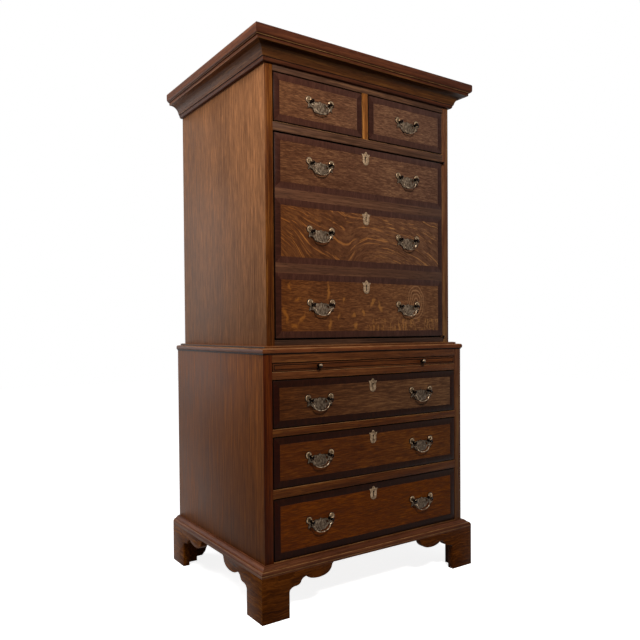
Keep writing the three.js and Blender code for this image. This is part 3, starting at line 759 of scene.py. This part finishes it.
def addBacks():
    for node in ("upper_back_panel", "lower_back_panel"):
        low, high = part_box(node)
        width = (high.x - low.x) / backLook["boards"]
        board = addBlock(node + "_boards", low, (low.x + width, high.y, high.z), backLook["ease"])
        applyModifier(board, "ARRAY", count=backLook["boards"], use_relative_offset=True,
                      relative_offset_displace=(1, 0, 0))
        paint(board, woods["pineUp"])
        finishPiece(board, "carcass", [node])


# Mouldings, in shares of how far each stands out and how high it is. Between the heights given,
# each is painted pale as a highlight on rubbed edges, painted dark as shade in quirks and under
# beads (on the returns alone, by a key of their own), or part of a cove.
corniceLook = {"wood": "cornice", "projection": 58 * mm, "rows": [
    [0, 0], [0.08, 0], [0.19, 0.01, 0.2, 0.13], [0.24, 0.15], [0.33, 0.46, 0.7, 0.505],
    [0.82, 0.505], [0.84, 0.53], [0.84, 0.61], [0.9, 0.625], [0.91, 0.64], [0.99, 0.66, 1, 0.76],
    [1, 0.93], [0.99, 0.99, 0.93, 1], [0, 1]],
    "rubbedHighlight": [(0.626, 0.64)], "dark": [(0.13, 0.152)], "cove": [(0.16, 0.529)]}
waistBed = 28 / 32.5  # the lower case's own face, 28 mm out from the upper one's
waistLook = {"wood": "waist", "projection": 32.5 * mm, "rows": [
    [0, 1 / 6], [waistBed, 1 / 6], [waistBed, 0], [0.9, 0], [0.9, 0.14], [0.96, 0.16],
    [1, 0.2, 1, 0.44], [0.99, 0.69, 0.85, 0.72], [0.6, 0.74], [0.52, 0.76], [0.5, 0.89],
    [0.56, 0.9], [0.55, 0.94], [0.4, 0.97, 0.34, 1], [0, 1]],
    "rubbedHighlight": [(0.895, 0.985), (0.64, 0.735)], "dark": [(0, 0.155)],
    "shadedReturns": [(0.745, 0.895)]}
baseLook = {"wood": "base", "projection": 24 * mm, "rows": [
    [0, 0], [1, 0], [1, 0.17], [1, 0.25], [0.99, 0.45, 0.87, 0.56], [0.83, 0.61], [0.77, 0.62],
    [0.62, 0.66, 0.5, 0.78], [0.3, 0.96, 0.08, 1], [0, 1]],
    "rubbedHighlight": [(0.18, 0.24), (0.57, 0.605)], "dark": [(0.97, 0.999)]}


def addMoulding(node, look, halfWidth, faceY):
    bottom, top = span(node, "z")
    mitre = math.sqrt(2)
    # The run's two ends and two corners: place, turn and stretch of the outline there
    stations = [(-halfWidth, backY, math.pi, 1), (-halfWidth, faceY, math.pi * 1.25, mitre),
                (halfWidth, faceY, -math.pi * 0.25, mitre), (halfWidth, backY, 0, 1)]
    rings = []
    for x, y, turn, stretch in stations:
        ring = drawOutline(node + "_ring", look["projection"], top - bottom, [look["rows"]],
                           steps=10)
        ring.scale = (stretch, 1, 1)
        rings.append(standUp(ring, (x, y, bottom), turn))
    moulding = joinPieces(rings, node + "_run")

    def onStation(index):
        x, y, turn = stations[index][:3]
        across = Vector((math.sin(turn), -math.cos(turn)))
        return lambda vert: (vert.co.x * x > 0
                             and abs((vert.co.xy - Vector((x, y))).dot(across)) < hair)

    for index in range(3):
        ends = onStation(index), onStation(index + 1)
        pick(moulding, "EDGE", lambda edge: any(all(map(isOn, edge.verts)) for isOn in ends))
        bpy.ops.mesh.bridge_edge_loops()
    for index in (0, 3):
        pick(moulding, "EDGE", lambda edge: all(map(onStation(index), edge.verts)))
        bpy.ops.mesh.edge_face_add()
    closeUp(moulding)

    def isReturn(face):
        return abs(face.center.x) - halfWidth > faceY - face.center.y

    def lies(face, key):
        share = (face.center.z - bottom) / (top - bottom)
        isFlatTop = face.normal.z >= 0.95
        return not isFlatTop and any(first < share < last for first, last in look.get(key, []))

    # The returns are painted paler as painted light, and the rubbed rows pale as a painted
    # highlight
    rules = [(woods[look["wood"] + "Side"], isReturn)]
    for key in ("cove", "rubbedHighlight"):
        rules += [(woods[key], lambda face, key=key: lies(face, key)),
                  (woods[key + "Side"], lambda face, key=key: lies(face, key) and isReturn(face))]
    # The dark rows are painted shade, in quirks and under beads
    rules.append((woods["edge"], lambda face: lies(face, "dark")
                  or lies(face, "shadedReturns") and isReturn(face)))
    paint(moulding, woods[look["wood"]], *rules)
    finishPiece(moulding, "carcass", [node])


# Feet: two scalloped brackets, mitred at the corner, and a block behind them
footRows = [[0, 0], [0.366, 0], [0.366, 0.56], [0.37, 0.675, 0.47, 0.675], [0.52, 0.69, 0.53, 0.76],
            [0.55, 0.82, 0.6, 0.84], [0.65, 0.74, 0.78, 0.735], [0.96, 0.74, 0.98, 0.97],
            [1, 1], [0, 1]]
rearFootRows = [[0, 0], [0.5, 0], [0.56, 0.1], [0.66, 0.55, 0.97, 0.8], [1, 1], [0, 1]]
footSizes = {"length": 243 * mm, "rearLength": 200 * mm, "thickness": 22 * mm, "block": 62 * mm,
             "ease": 1.2 * mm, "blockEase": 0.8 * mm}


# A bracket along +X from the outer corner at the origin, its face at y = 0, mitred at that corner
def makeBracket(name, rows, length, height):
    thickness = footSizes["thickness"]
    bracket = drawOutline(name, length, height, [rows], depth=thickness, steps=10)
    standUp(bracket, (0, thickness / 2, 0))
    closeUp(bracket)
    pick(bracket, "FACE", lambda face: True)
    bpy.ops.mesh.bisect(plane_co=(0, 0, 0), plane_no=(-1, 1, 0), clear_outer=True, use_fill=False)
    bpy.ops.object.mode_set(mode="OBJECT")
    return bracket


def addFeet():
    for node in ("foot_front_left", "foot_front_right", "foot_rear_left", "foot_rear_right"):
        low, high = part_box(node)
        isLeft, isRear = "left" in node, "rear" in node
        rows = rearFootRows if isRear else footRows
        length = footSizes["rearLength"] if isRear else footSizes["length"]
        level = makeBracket(node + "_level", rows, length, high.z)
        deep = makeBracket(node + "_deep", footRows, footSizes["length"], high.z)
        # Swapped end for end, the second bracket runs along +Y
        deep.scale = (1, -1, 1)
        deep.rotation_euler = (0, 0, math.pi / 2)
        setPlace(deep)
        edge, reach = footSizes["thickness"], footSizes["block"]
        block = addBlock(node + "_block", (edge, edge, 0), (reach, reach, high.z),
                         footSizes["blockEase"])
        foot = joinPieces([level, deep], node + "_brackets")
        closeUp(foot)
        easeEdges(foot, footSizes["ease"], angle=50)
        foot = joinPieces([foot, block], node + "_scalloped")
        foot.scale = (1 if isLeft else -1, -1 if isRear else 1, 1)
        corner = Vector((low.x if isLeft else high.x, high.y if isRear else low.y, 0))
        foot.location = corner
        setPlace(foot)
        closeUp(foot)
        paint(foot, woods["foot"], (woods["footSide"], lambda face:
                                    abs(face.center.y - corner.y) > abs(face.center.x - corner.x)))
        finishPiece(foot, "carcass", [node])


# Drawer fronts and the door. A plate's fall is how far its middle lies below the front's top,
# and its keyhole is a round hole with a slot below it.
escutcheonSizes = {"width": 32 * mm, "height": 40 * mm, "plate": 1.5 * mm, "ease": 0.6 * mm,
                   "fall": 31.5 * mm, "rise": 3.5 * mm, "hole": 3 * mm, "slot": 4.2 * mm,
                   "waist": 3.8 * mm, "slotLength": 16.5 * mm, "depth": 12 * mm,
                   "slotShort": 0.1 * mm, "pin": 1.3 * mm, "pinSink": 0.2 * mm,
                   "pinHeights": (15.5 * mm, -17 * mm)}
frontLook = {"bandWidth": 19 * mm, "groove": 0.5 * mm, "grooveDepth": 0.35 * mm, "ease": 1.2 * mm,
             "gap": 1.5 * mm}


# Insets the crossband into the picked front faces, then cuts a fine line round the field
def insetBand():
    bpy.ops.mesh.inset(thickness=frontLook["bandWidth"], use_individual=True)
    for depth in (-frontLook["grooveDepth"], frontLook["grooveDepth"]):
        bpy.ops.mesh.inset(thickness=frontLook["groove"], depth=depth, use_individual=True)
    bpy.ops.object.mode_set(mode="OBJECT")


# Gives two tests, for faces on the upright strips of a panel's crossband and on its level ones
def bandTests(panels):
    def isStrip(face, isUpright):
        x, z = face.center.x, face.center.z
        for left, right, bottom, top in panels:
            sideways, upward = min(x - left, right - x), min(z - bottom, top - z)
            if isFront(face) and 0 < min(sideways, upward) < frontLook["bandWidth"]:
                return isUpright == (sideways < upward)
        return False

    return lambda face: isStrip(face, True), lambda face: isStrip(face, False)


def cutKeyhole(front, faceY, top):
    startClean()
    sizes = escutcheonSizes
    holeZ = top - sizes["fall"] + sizes["rise"]
    bpy.ops.mesh.primitive_cylinder_add(vertices=20, radius=sizes["hole"], depth=2 * sizes["depth"],
                                        location=(0, faceY, holeZ), rotation=(math.pi / 2, 0, 0))
    hole = setPlace(bpy.context.object)
    # A little shallower than the hole, because cutters that end together leave slivers
    slotEnd = faceY + sizes["depth"] - sizes["slotShort"]
    slotZ, half = holeZ - sizes["slotLength"], sizes["slot"] / 2
    slot = addBlock("slot", (-half, faceY - sizes["depth"], slotZ), (half, slotEnd, holeZ))
    for cutter in (hole, slot):
        applyModifier(front, "BOOLEAN", object=cutter, operation="DIFFERENCE", solver="EXACT")
        bpy.data.objects.remove(cutter)


# Says whether a face lies on a front's edge or in a keyhole, which are painted dark: painted shade
# of the gap round the front and of the hole
def shadedEdgeTest(low, high, faceY):
    ease = frontLook["ease"]

    def isShadedEdge(face):
        x, y, z = face.center
        nearEdge = min(x - low.x, high.x - x, z - low.z, high.z - z) < ease and y < high.y - ease
        return nearEdge or (abs(x) < escutcheonSizes["slot"] and faceY + ease < y < high.y - ease)

    return isShadedEdge


def addFront(name, field, hasLock):
    node = name + "_front"
    low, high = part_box(node)
    faceY = upperFaceY if "short" in name else lowerFaceY
    top, gap = high.z, frontLook["gap"]
    low = Vector((low.x + gap, faceY, low.z + gap))
    high = Vector((high.x - gap, high.y, high.z - gap))
    front = addBlock(node + "_crossbanded", low, high, frontLook["ease"])
    pick(front, "FACE", isFlatFront)
    insetBand()
    if hasLock:
        cutKeyhole(front, faceY, top)
    isUpright, isLevel = bandTests([(low.x, high.x, low.z, high.z)])
    upright, level = (("uprightBand", "levelBand") if "short" in name
                      else ("lowerUprightBand", "lowerLevelBand"))
    # Edges and keyhole walls are painted dark, as the shade of the gap and the hole
    paint(front, woods["pine"], (woods[field], isFront), (woods[upright], isUpright),
          (woods[level], isLevel), (woods["edge"], shadedEdgeTest(low, high, faceY)))
    finishPiece(front, name, [node], smooth=25)
    return faceY, top


# The first two panels' heights, and the pin's place across the front and forward of it
doorLook = {"panels": (158 * mm, 185 * mm), "rail": 28.5 * mm, "clearance": 2 * mm,
            "gap": 1.5 * mm, "ear": 2.5 * mm, "earRadius": 4 * mm, "pinHole": 1.8 * mm,
            "pin": (335 * mm, -4.5 * mm), "neck": 1 * mm}


# Top and bottom of each dummy drawer, whose last one runs down to the door's foot
def doorPanels(low, high):
    top, panels = high.z, []
    for height in doorLook["panels"]:
        panels.append((top, top - height))
        top = top - height - doorLook["rail"]
    return [*panels, (top, low.z)]


def dummyPanel(index):
    low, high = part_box("cupboard_door")
    top, bottom = doorPanels(low, high)[index]
    width = frontLook["bandWidth"]
    return -openingHalf + width, openingHalf - width, bottom + width, top - width


# The ears that turn on the knife hinges' pins, one flush with each end of the door
def makeEars(low, high):
    x, forward = doorLook["pin"]
    radius, ear = doorLook["earRadius"], doorLook["ear"]
    inner = doorLook["pinHole"] / radius
    ears = []
    for bottom in (low.z, high.z - ear):
        ring = turnProfile("ear", [[inner, 0], [1, 0], [1, 1], [inner, 1]], radius, ear, sides=24)
        ring.location = (x, upperFaceY + forward, bottom)
        neck = addBlock("neck", (x - radius, upperFaceY + forward, bottom),
                        (high.x, upperFaceY + doorLook["neck"], bottom + ear))
        ears += [setPlace(ring), neck]
    ears = joinPieces(ears, "door_hinge_ears")
    # In the posts' brass, painted near black as shade
    paint(ears, brasses["post"])
    finishPiece(ears, "door")


def addDoor():
    low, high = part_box("cupboard_door")
    half = openingHalf - doorLook["clearance"] - doorLook["gap"]
    low, high = Vector((-half, upperFaceY, low.z)), Vector((half, high.y, high.z))
    makeEars(low, high)
    gap = Vector((0, 0, doorLook["gap"]))
    door = addBlock("cupboard_door_crossbanded", low + gap, high - gap, frontLook["ease"])
    panels = doorPanels(low, high)
    for top, bottom in panels:
        for level in (top, bottom):
            if low.z + hair < level < high.z - hair:
                pick(door, "FACE", lambda face: True)
                bpy.ops.mesh.bisect(plane_co=(0, 0, level), plane_no=(0, 0, 1))
    pick(door, "FACE", lambda face: isFlatFront(face)
         and any(bottom < face.calc_center_median().z < top for top, bottom in panels))
    insetBand()
    for top, bottom in panels:
        cutKeyhole(door, upperFaceY, top)
    isUpright, isLevel = bandTests([(-half, half, bottom, top) for top, bottom in panels])

    def inField(index):
        top, bottom = panels[index]
        return lambda face: isFront(face) and bottom < face.center.z < top

    # Edges and keyhole walls are painted dark, as the shade of the gap and the hole
    paint(door, woods["rail"], (woods["falseRail"], isFront), (woods["field"], inField(0)),
          (woods["flame"], inField(1)), (woods["fleck"], inField(2)),
          (woods["uprightBand"], isUpright), (woods["levelBand"], isLevel),
          (woods["edge"], shadedEdgeTest(low + gap, high - gap, upperFaceY)))
    finishPiece(door, "door", ["cupboard_door"], smooth=25)
    return panels


# Handles, modelled once about the plate's middle with the drawer's face at y = 0. The bore is
# the distance between a handle's two posts.
handleSizes = {"plateWidth": 102 * mm, "plateHeight": 48 * mm, "plate": 2 * mm, "bore": 66 * mm,
               "rise": 8 * mm, "postRadius": 5.4 * mm, "postReach": 16.5 * mm,
               "postSink": 0.1 * mm, "pivot": 13 * mm, "drop": 32 * mm, "bail": 1.9 * mm}
plateRows = [
    [0, 0.8], [0.12, 0.69, 0.35, 0.74], [0.47, 0.645, 0.6, 0.74], [0.59, 0.97, 0.765, 0.99],
    [0.96, 1, 0.99, 0.8], [1, 0.625, 0.85, 0.595], [0.79, 0.53, 0.83, 0.43], [0.86, 0.26],
    [0.745, 0.365, 0.61, 0.335], [0.53, 0.3, 0.48, 0.22], [0.39, 0.04, 0.16, 0.05],
    [0.06, 0.05, 0, 0]]
piercingRows = [[0.4, 0.66], [0.46, 0.56, 0.53, 0.55], [0.56, 0.5, 0.52, 0.44],
                [0.46, 0.4, 0.42, 0.48], [0.38, 0.56, 0.4, 0.66]]


# The same rows on the other side of the middle line
def flipRows(rows):
    return [[-share if place % 2 == 0 else share for place, share in enumerate(row)]
            for row in rows]


plateLook = {"ease": 0.8 * mm, "roundel": (9 * mm, 1.6 * mm), "roundelSink": 0.2 * mm,
             "roundelPlace": (40 * mm, 13.5 * mm), "dish": 0.62, "head": 0.6}
roundelRows = [[0, 0], [1, 0], [1, 0.6], [0.98, 1, 0.8, 1], [0.66, 0.96, 0.6, 0.5],
               [0.4, 0.3, 0, 0.3]]
postRows = [[0, 0], [1, 0], [1, 0.08], [0.98, 0.16, 0.7, 0.18], [0.5, 0.22, 0.48, 0.4],
            [0.5, 0.56, 0.8, 0.6], [1, 0.66, 1, 0.8], [0.98, 0.98, 0, 1]]


def makePlate():
    sizes = handleSizes
    half = sizes["plateWidth"] / 2
    plate = drawOutline("plate", half, sizes["plateHeight"],
                        [mirrorRows(plateRows), piercingRows, flipRows(piercingRows)],
                        depth=sizes["plate"], ease=plateLook["ease"], steps=6)
    standUp(plate, (0, -sizes["plate"] / 2, -sizes["plateHeight"] / 2))
    closeUp(plate)
    # Its rim and the walls of its piercings are painted dark, as painted shade
    paint(plate, brasses["chased"], (brasses["post"], lambda face: -0.95 < face.normal.y < 0.5))
    parts = [plate]
    radius, thickness = plateLook["roundel"]
    tipX, tipZ = plateLook["roundelPlace"]
    for side in (-1, 1):
        # A dished roundel stands on each wing tip
        roundel = turnProfile("roundel", roundelRows, radius, thickness, sides=28)
        paint(roundel, brasses["rim"],
              (brasses["dull"], lambda face: face.center.xy.length < plateLook["dish"] * radius))
        standUp(roundel, (side * tipX, plateLook["roundelSink"] - sizes["plate"], tipZ))
        # The post: a collar, a waist and a round head that holds the bail's turned-in end
        length = sizes["postReach"] - sizes["plate"]
        post = turnProfile("post", postRows, sizes["postRadius"], length, sides=24)
        # Its head is painted bright where it will face up once the post lies level: a painted
        # highlight where the light falls from above
        headFrom = plateLook["head"] * sizes["postReach"]
        paint(post, brasses["post"], (brasses["rim"], lambda face: face.normal.y > 0.55
                                      and face.center.z > headFrom))
        standUp(post, (side * sizes["bore"] / 2, sizes["postSink"] - sizes["plate"],
                       sizes["rise"]))
        parts += [roundel, post]
    return joinPieces(parts, "handlePlate")


# One half of the bail below its shoulder, in shares of the shoulder's reach and of the drop. The
# shoulder stands past the post, and the turned-in end comes back into it with a ball on it.
bailRows = [(1.07, -0.1), (1.01, -0.25), (0.885, -0.34), (0.75, -0.41), (0.69, -0.56),
            (0.585, -0.77), (0.34, -0.94)]
bailLook = {"shoulder": 5 * mm, "turnIn": 7 * mm, "ball": 2.3 * mm, "thickness": 0.92,
            "shadedTo": -0.3}


# The bail hangs from its pivot line at the origin: a swan-necked rod
def makeBail():
    startClean()
    sizes = handleSizes
    reach = sizes["bore"] / 2 + bailLook["shoulder"]
    inner = reach - bailLook["turnIn"]
    half = [(inner / reach, 0), (1, 0), *bailRows]
    rows = [*half, (0, -1), *[(-x, z) for x, z in reversed(half)]]
    curve = bpy.data.curves.new("bail", "CURVE")
    curve.dimensions = "3D"
    curve.resolution_u = 5
    curve.bevel_depth = sizes["bail"]
    curve.bevel_resolution = 3
    curve.use_fill_caps = True
    spline = curve.splines.new("BEZIER")
    spline.bezier_points.add(len(rows) - 1)
    for point, (x, z) in zip(spline.bezier_points, rows):
        point.co = (x * reach, 0, z * sizes["drop"])
        point.handle_left_type = point.handle_right_type = "AUTO"
        point.radius = bailLook["thickness"]
    rod = meshCurve("bail", curve)
    balls = [addBall((side * inner, 0, 0), bailLook["ball"], 14) for side in (-1, 1)]
    bail = joinPieces([rod, *balls], "bailPattern")
    closeUp(bail)
    # The upper loops are painted in the posts' dark brass, as painted shade
    shadedTo = bailLook["shadedTo"] * sizes["drop"]
    paint(bail, brasses["bail"], (brasses["post"], lambda face: face.center.z > shadedTo))
    return bail


escutcheonRows = [
    [0, 1], [0.27, 1, 0.29, 0.88], [0.5, 0.8, 1, 0.83], [0.84, 0.72, 0.72, 0.58],
    [0.78, 0.42, 0.7, 0.24], [0.58, 0, 0, 0]]


def makeEscutcheon():
    sizes = escutcheonSizes
    half, tall = sizes["width"] / 2, sizes["height"]
    # The keyhole in shares of the plate: a round bow, a narrow waist and a foot that flares
    hole, slot, waist = sizes["hole"] / half, sizes["slot"] / 2 / half, sizes["waist"] / 2 / half
    middle, bow = 0.5 + sizes["rise"] / tall, sizes["hole"] / tall
    foot = middle - sizes["slotLength"] / tall
    cheek, neck, flare = middle - 0.8 * bow, middle - bow, foot + 2 * bow
    keyhole = [[hole, middle + bow, hole, middle], [hole, cheek, waist, neck],
               [waist, (neck + foot) / 2], [slot, flare], [slot, foot, 0, foot],
               [-slot, foot, -slot, flare], [-waist, (neck + foot) / 2], [-waist, neck],
               [-hole, cheek, -hole, middle], [-hole, middle + bow, 0, middle + bow]]
    plate = drawOutline("escutcheon", half, tall, [mirrorRows(escutcheonRows), keyhole],
                        depth=sizes["plate"], ease=sizes["ease"], steps=6)
    standUp(plate, (0, -sizes["plate"] / 2, -tall / 2))
    closeUp(plate)
    pinY = sizes["pinSink"] - sizes["plate"]
    pins = [addBall((0, pinY, height), sizes["pin"], 12) for height in sizes["pinHeights"]]
    plate = joinPieces([plate, *pins], "escutcheonPattern")
    # Its edges, keyhole walls and pins are painted in the posts' dark brass, as painted shade
    paint(plate, brasses["post"], (brasses["shield"], lambda face: face.normal.y < -0.9))
    return plate


# Changes a copied piece's brasses for the darker ones of the lower case, painted darker as shade
def shadeLowerBrass(piece):
    for name, brass in brasses.items():
        for index, material in enumerate(piece.data.materials):
            if material == brass:
                piece.data.materials[index] = lowerBrasses[name]


# Hangs a bail where its node is, with its backplate on the body behind it
def hangHandle(node, body, faceY):
    low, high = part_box(node)
    x, pivotZ = (low.x + high.x) / 2, high.z - handleSizes["bail"]
    plate = copyPiece(platePattern, node + "_backplate", (x, faceY, pivotZ - handleSizes["rise"]))
    bail = copyPiece(bailPattern, node + "_swan_neck", (x, faceY - handleSizes["pivot"], pivotZ))
    if faceY == lowerFaceY:
        shadeLowerBrass(plate)
        shadeLowerBrass(bail)
    finishPiece(plate, body, smooth=40)
    finishPiece(bail, node, [node], smooth=60)


def pinEscutcheon(name, body, top, faceY):
    plate = copyPiece(escutcheonPattern, name + "_escutcheon",
                      (0, faceY, top - escutcheonSizes["fall"]))
    if faceY == lowerFaceY:
        shadeLowerBrass(plate)
    finishPiece(plate, body, smooth=40)


# Drawer boxes: two sides, a back and a bottom that sits between the sides
boxLook = {"side": 10 * mm, "bottom": 6 * mm, "ease": 1.5 * mm, "backDrop": 4 * mm,
           "floorRise": 1 * mm, "floorEase": 0.5 * mm}


def addBox(name):
    node = name + "_box"
    low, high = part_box(node)
    side, bottom, ease = boxLook["side"], boxLook["bottom"], boxLook["ease"]
    parts = []
    for edge in (low.x, high.x - side):
        wall = addBlock("wall", (edge, low.y, low.z), (edge + side, high.y, high.z), ease)
        paint(wall, woods["pineDepth"])
        parts.append(wall)
    back = addBlock("back", (low.x + side, high.y - side, low.z + bottom),
                    (high.x - side, high.y, high.z - boxLook["backDrop"]), ease)
    paint(back, woods["pine"])
    floor = addBlock("floor", (low.x + side, low.y, low.z + boxLook["floorRise"]),
                     (high.x - side, high.y, low.z + bottom), boxLook["floorEase"])
    paint(floor, woods["pine"])
    box = joinPieces([*parts, back, floor], node + "_pine")
    finishPiece(box, name, [node])


# The brushing slide: a thin board with a lip worked along its front edge, and two turned knobs
slideSizes = {"gap": 0.9 * mm, "ease": 0.9 * mm, "bead": 2.6 * mm, "groove": 1.3 * mm}
knobRows = [[0, 0], [0.6, 0], [0.5, 0.14], [0.45, 0.42], [1, 0.45, 1, 0.7], [1, 1, 0, 1]]


def addSlide():
    low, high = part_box("brushing_slide")
    look = slideSizes
    gap = Vector((look["gap"], 0, look["gap"]))
    slide = addBlock("brushing_slide_board", low + gap, high - gap, look["ease"])
    pick(slide, "FACE", isFlatFront)
    bpy.ops.mesh.inset(thickness=look["bead"])
    for depth in (-look["groove"], look["groove"]):
        bpy.ops.mesh.inset(thickness=look["groove"], depth=depth)
    bpy.ops.object.mode_set(mode="OBJECT")
    # The groove's walls are painted dark, as painted shade
    paint(slide, woods["slide"], (woods["edge"], lambda face: face.center.y < low.y + look["groove"]
                                  and face.normal.y > -0.97))
    finishPiece(slide, "brushing_slide", ["brushing_slide"])
    knobLow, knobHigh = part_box("slide_knob_left")
    pattern = turnProfile("knobPattern", knobRows, (knobHigh.x - knobLow.x) / 2,
                          knobHigh.y - knobLow.y, sides=28)
    standUp(pattern)
    # The stem is painted near black as painted shade, and the upper front bright as a painted
    # highlight
    paint(pattern, brasses["post"],
          (brasses["bail"], lambda face: isFront(face) and face.normal.z > 0))
    for side in ("left", "right"):
        node = "slide_knob_" + side
        low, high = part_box(node)
        middle = (low + high) / 2
        knob = copyPiece(pattern, node + "_turned", (middle.x, high.y, middle.z))
        finishPiece(knob, "brushing_slide", [node], smooth=50)
    bpy.data.objects.remove(pattern)


print("chest: materials")
woods = makeWoods()
brasses = {name: makeBrass("aged_brass_" + name, look) for name, look in brassLooks.items()}
lowerBrasses = {name: makeBrass("shaded_lower_brass_" + name, look, look["lowerShade"])
                for name, look in brassLooks.items()}

print("chest: case, backs, mouldings and feet")
addBoards()
addBacks()
addMoulding("cornice", corniceLook, upperHalf, upperFaceY)
addMoulding("waist_moulding", waistLook, upperHalf, upperFaceY)
addMoulding("base_moulding", baseLook, lowerHalf, lowerFaceY)
addFeet()

print("chest: fronts, door and handles")
platePattern = makePlate()
bailPattern = makeBail()
escutcheonPattern = makeEscutcheon()
drawerFields = {"short_drawer_left": "shortField", "short_drawer_right": "shortField",
                "long_drawer_1": "firstField", "long_drawer_2": "secondField",
                "long_drawer_3": "thirdField"}
for name, field in drawerFields.items():
    isLong = "long" in name
    faceY, top = addFront(name, field, isLong)
    addBox(name)
    for end in ("_bail_left", "_bail_right") if isLong else ("_bail",):
        hangHandle(name + end, name, faceY)
    if isLong:
        pinEscutcheon(name, name, top, faceY)
for index, (top, bottom) in enumerate(addDoor(), start=1):
    for side in ("left", "right"):
        hangHandle(f"door_bail_{index}_{side}", "door", upperFaceY)
    pinEscutcheon(f"dummy_drawer_{index}", "door", top, upperFaceY)
for pattern in (platePattern, bailPattern, escutcheonPattern):
    bpy.data.objects.remove(pattern)
addSlide()
# The knife hinges keep their solids, in the posts' brass that is painted near black as shade
for node in ("upper_door_hinge", "lower_door_hinge"):
    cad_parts[node].data.materials.clear()
    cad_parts[node].data.materials.append(brasses["post"])

# Camera, fitted to the photograph's edges and corners. Its angles are in radians.
cameraLook = {"place": (-1.27547, -1.83658, 0.8109), "yaw": 0.58904, "pitch": -0.01955,
              "roll": -0.00783, "lens": 36.1571, "sensor": 36, "shift": (0.01948, 0.035)}


def addCamera():
    data = bpy.data.cameras.new("studioCamera")
    data.lens, data.sensor_width = cameraLook["lens"], cameraLook["sensor"]
    data.shift_x, data.shift_y = cameraLook["shift"]
    camera = bpy.data.objects.new("studioCamera", data)
    bpy.context.scene.collection.objects.link(camera)
    camera.location = cameraLook["place"]
    camera.rotation_euler = (math.pi / 2 + cameraLook["pitch"], 0, -cameraLook["yaw"])
    camera.rotation_euler.rotate_axis("Z", cameraLook["roll"])
    bpy.context.scene.camera = camera


# Whether a ray should see the white background: from the camera, in gloss or through glass
def seesBackground(tree):
    path = addNode(tree, "ShaderNodeLightPath")
    seen = addNode(tree, "ShaderNodeMath", {0: path.outputs["Is Camera Ray"],
                                            1: path.outputs["Is Glossy Ray"]}, operation="MAXIMUM")
    return addNode(tree, "ShaderNodeMath", {0: seen, 1: path.outputs["Is Transmission Ray"]},
                   operation="MAXIMUM")


# The floor glows to the camera, least near the chest, so that the chest's shadow stays
studioLook = {"ambient": 0.11, "ambientColour": (0.95, 0.97, 1.0, 1), "floorSize": 16,
              "floorColour": (0.8, 0.8, 0.8, 1), "floorBounce": 0.14, "floorGlowNear": 0.86,
              "floorGlowFar": 1.0, "glowFrom": 0.7, "glowTo": 2.6}


def addStudio():
    world = bpy.data.worlds.new("studioWorld")
    bpy.context.scene.world = world
    world.use_nodes = True
    tree = world.node_tree
    tree.nodes.clear()
    ambient = addNode(tree, "ShaderNodeBackground", {
        "Color": studioLook["ambientColour"], "Strength": studioLook["ambient"]})
    white = addNode(tree, "ShaderNodeBackground", {"Color": (1, 1, 1, 1), "Strength": 1.0})
    mixed = addNode(tree, "ShaderNodeMixShader", {0: seesBackground(tree), 1: ambient, 2: white})
    addNode(tree, "ShaderNodeOutputWorld", {"Surface": mixed})

    startClean()
    bpy.ops.mesh.primitive_plane_add(size=studioLook["floorSize"])
    floor = bpy.context.object
    floor.name = "studioFloor"
    # Matt white paper, with no gloss at all
    material, tree = startMaterial("matt_white_floor")
    place = addNode(tree, "ShaderNodeTexCoord").outputs["Object"]
    away = addNode(tree, "ShaderNodeVectorMath", {0: place}, operation="LENGTH").outputs["Value"]
    strength = addNode(tree, "ShaderNodeMapRange", {
        "Value": away, "From Min": studioLook["glowFrom"], "From Max": studioLook["glowTo"],
        "To Min": studioLook["floorGlowNear"], "To Max": studioLook["floorGlowFar"]})
    glow = addNode(tree, "ShaderNodeEmission", {"Color": (1, 1, 1, 1), "Strength": strength})
    matt = addNode(tree, "ShaderNodeBsdfDiffuse", {"Color": studioLook["floorColour"]})
    lit = addNode(tree, "ShaderNodeAddShader", {0: matt, 1: glow})
    bounce = addNode(tree, "ShaderNodeBsdfDiffuse", {
        "Color": (studioLook["floorBounce"],) * 3 + (1,)})
    mixed = addNode(tree, "ShaderNodeMixShader", {0: seesBackground(tree), 1: bounce, 2: lit})
    addNode(tree, "ShaderNodeOutputMaterial", {"Surface": mixed})
    floor.data.materials.append(material)


# Square area lamps, each turned to its target. Sizes are in metres and power in watts.
lampLooks = {
    "frontLamp": {"place": (-0.5, -1.9, 2.15), "target": (0, -0.25, 1.1), "size": 0.4,
                  "power": 52, "colour": (1.0, 0.97, 0.93)},
    "sideLamp": {"place": (-1.45, -0.6, 2.4), "target": (-0.36, 0, 1.6), "size": 0.8,
                 "power": 28, "colour": (1.0, 0.97, 0.95)},
    "windowLamp": {"place": (-1.5, 2.0, 1.15), "target": (-0.36, 0, 0.9), "size": 1.3,
                   "power": 17, "colour": (0.97, 0.98, 1.0)}}


def addLamp(name, look):
    lamp = bpy.data.lights.new(name, "AREA")
    lamp.size, lamp.energy, lamp.color = look["size"], look["power"], look["colour"]
    holder = bpy.data.objects.new(name, lamp)
    bpy.context.scene.collection.objects.link(holder)
    place, target = Vector(look["place"]), Vector(look["target"])
    holder.location = place
    holder.rotation_euler = (target - place).to_track_quat("-Z", "Y").to_euler()


print("chest: camera, floor and light")
addCamera()
addStudio()
for name, look in lampLooks.items():
    addLamp(name, look)
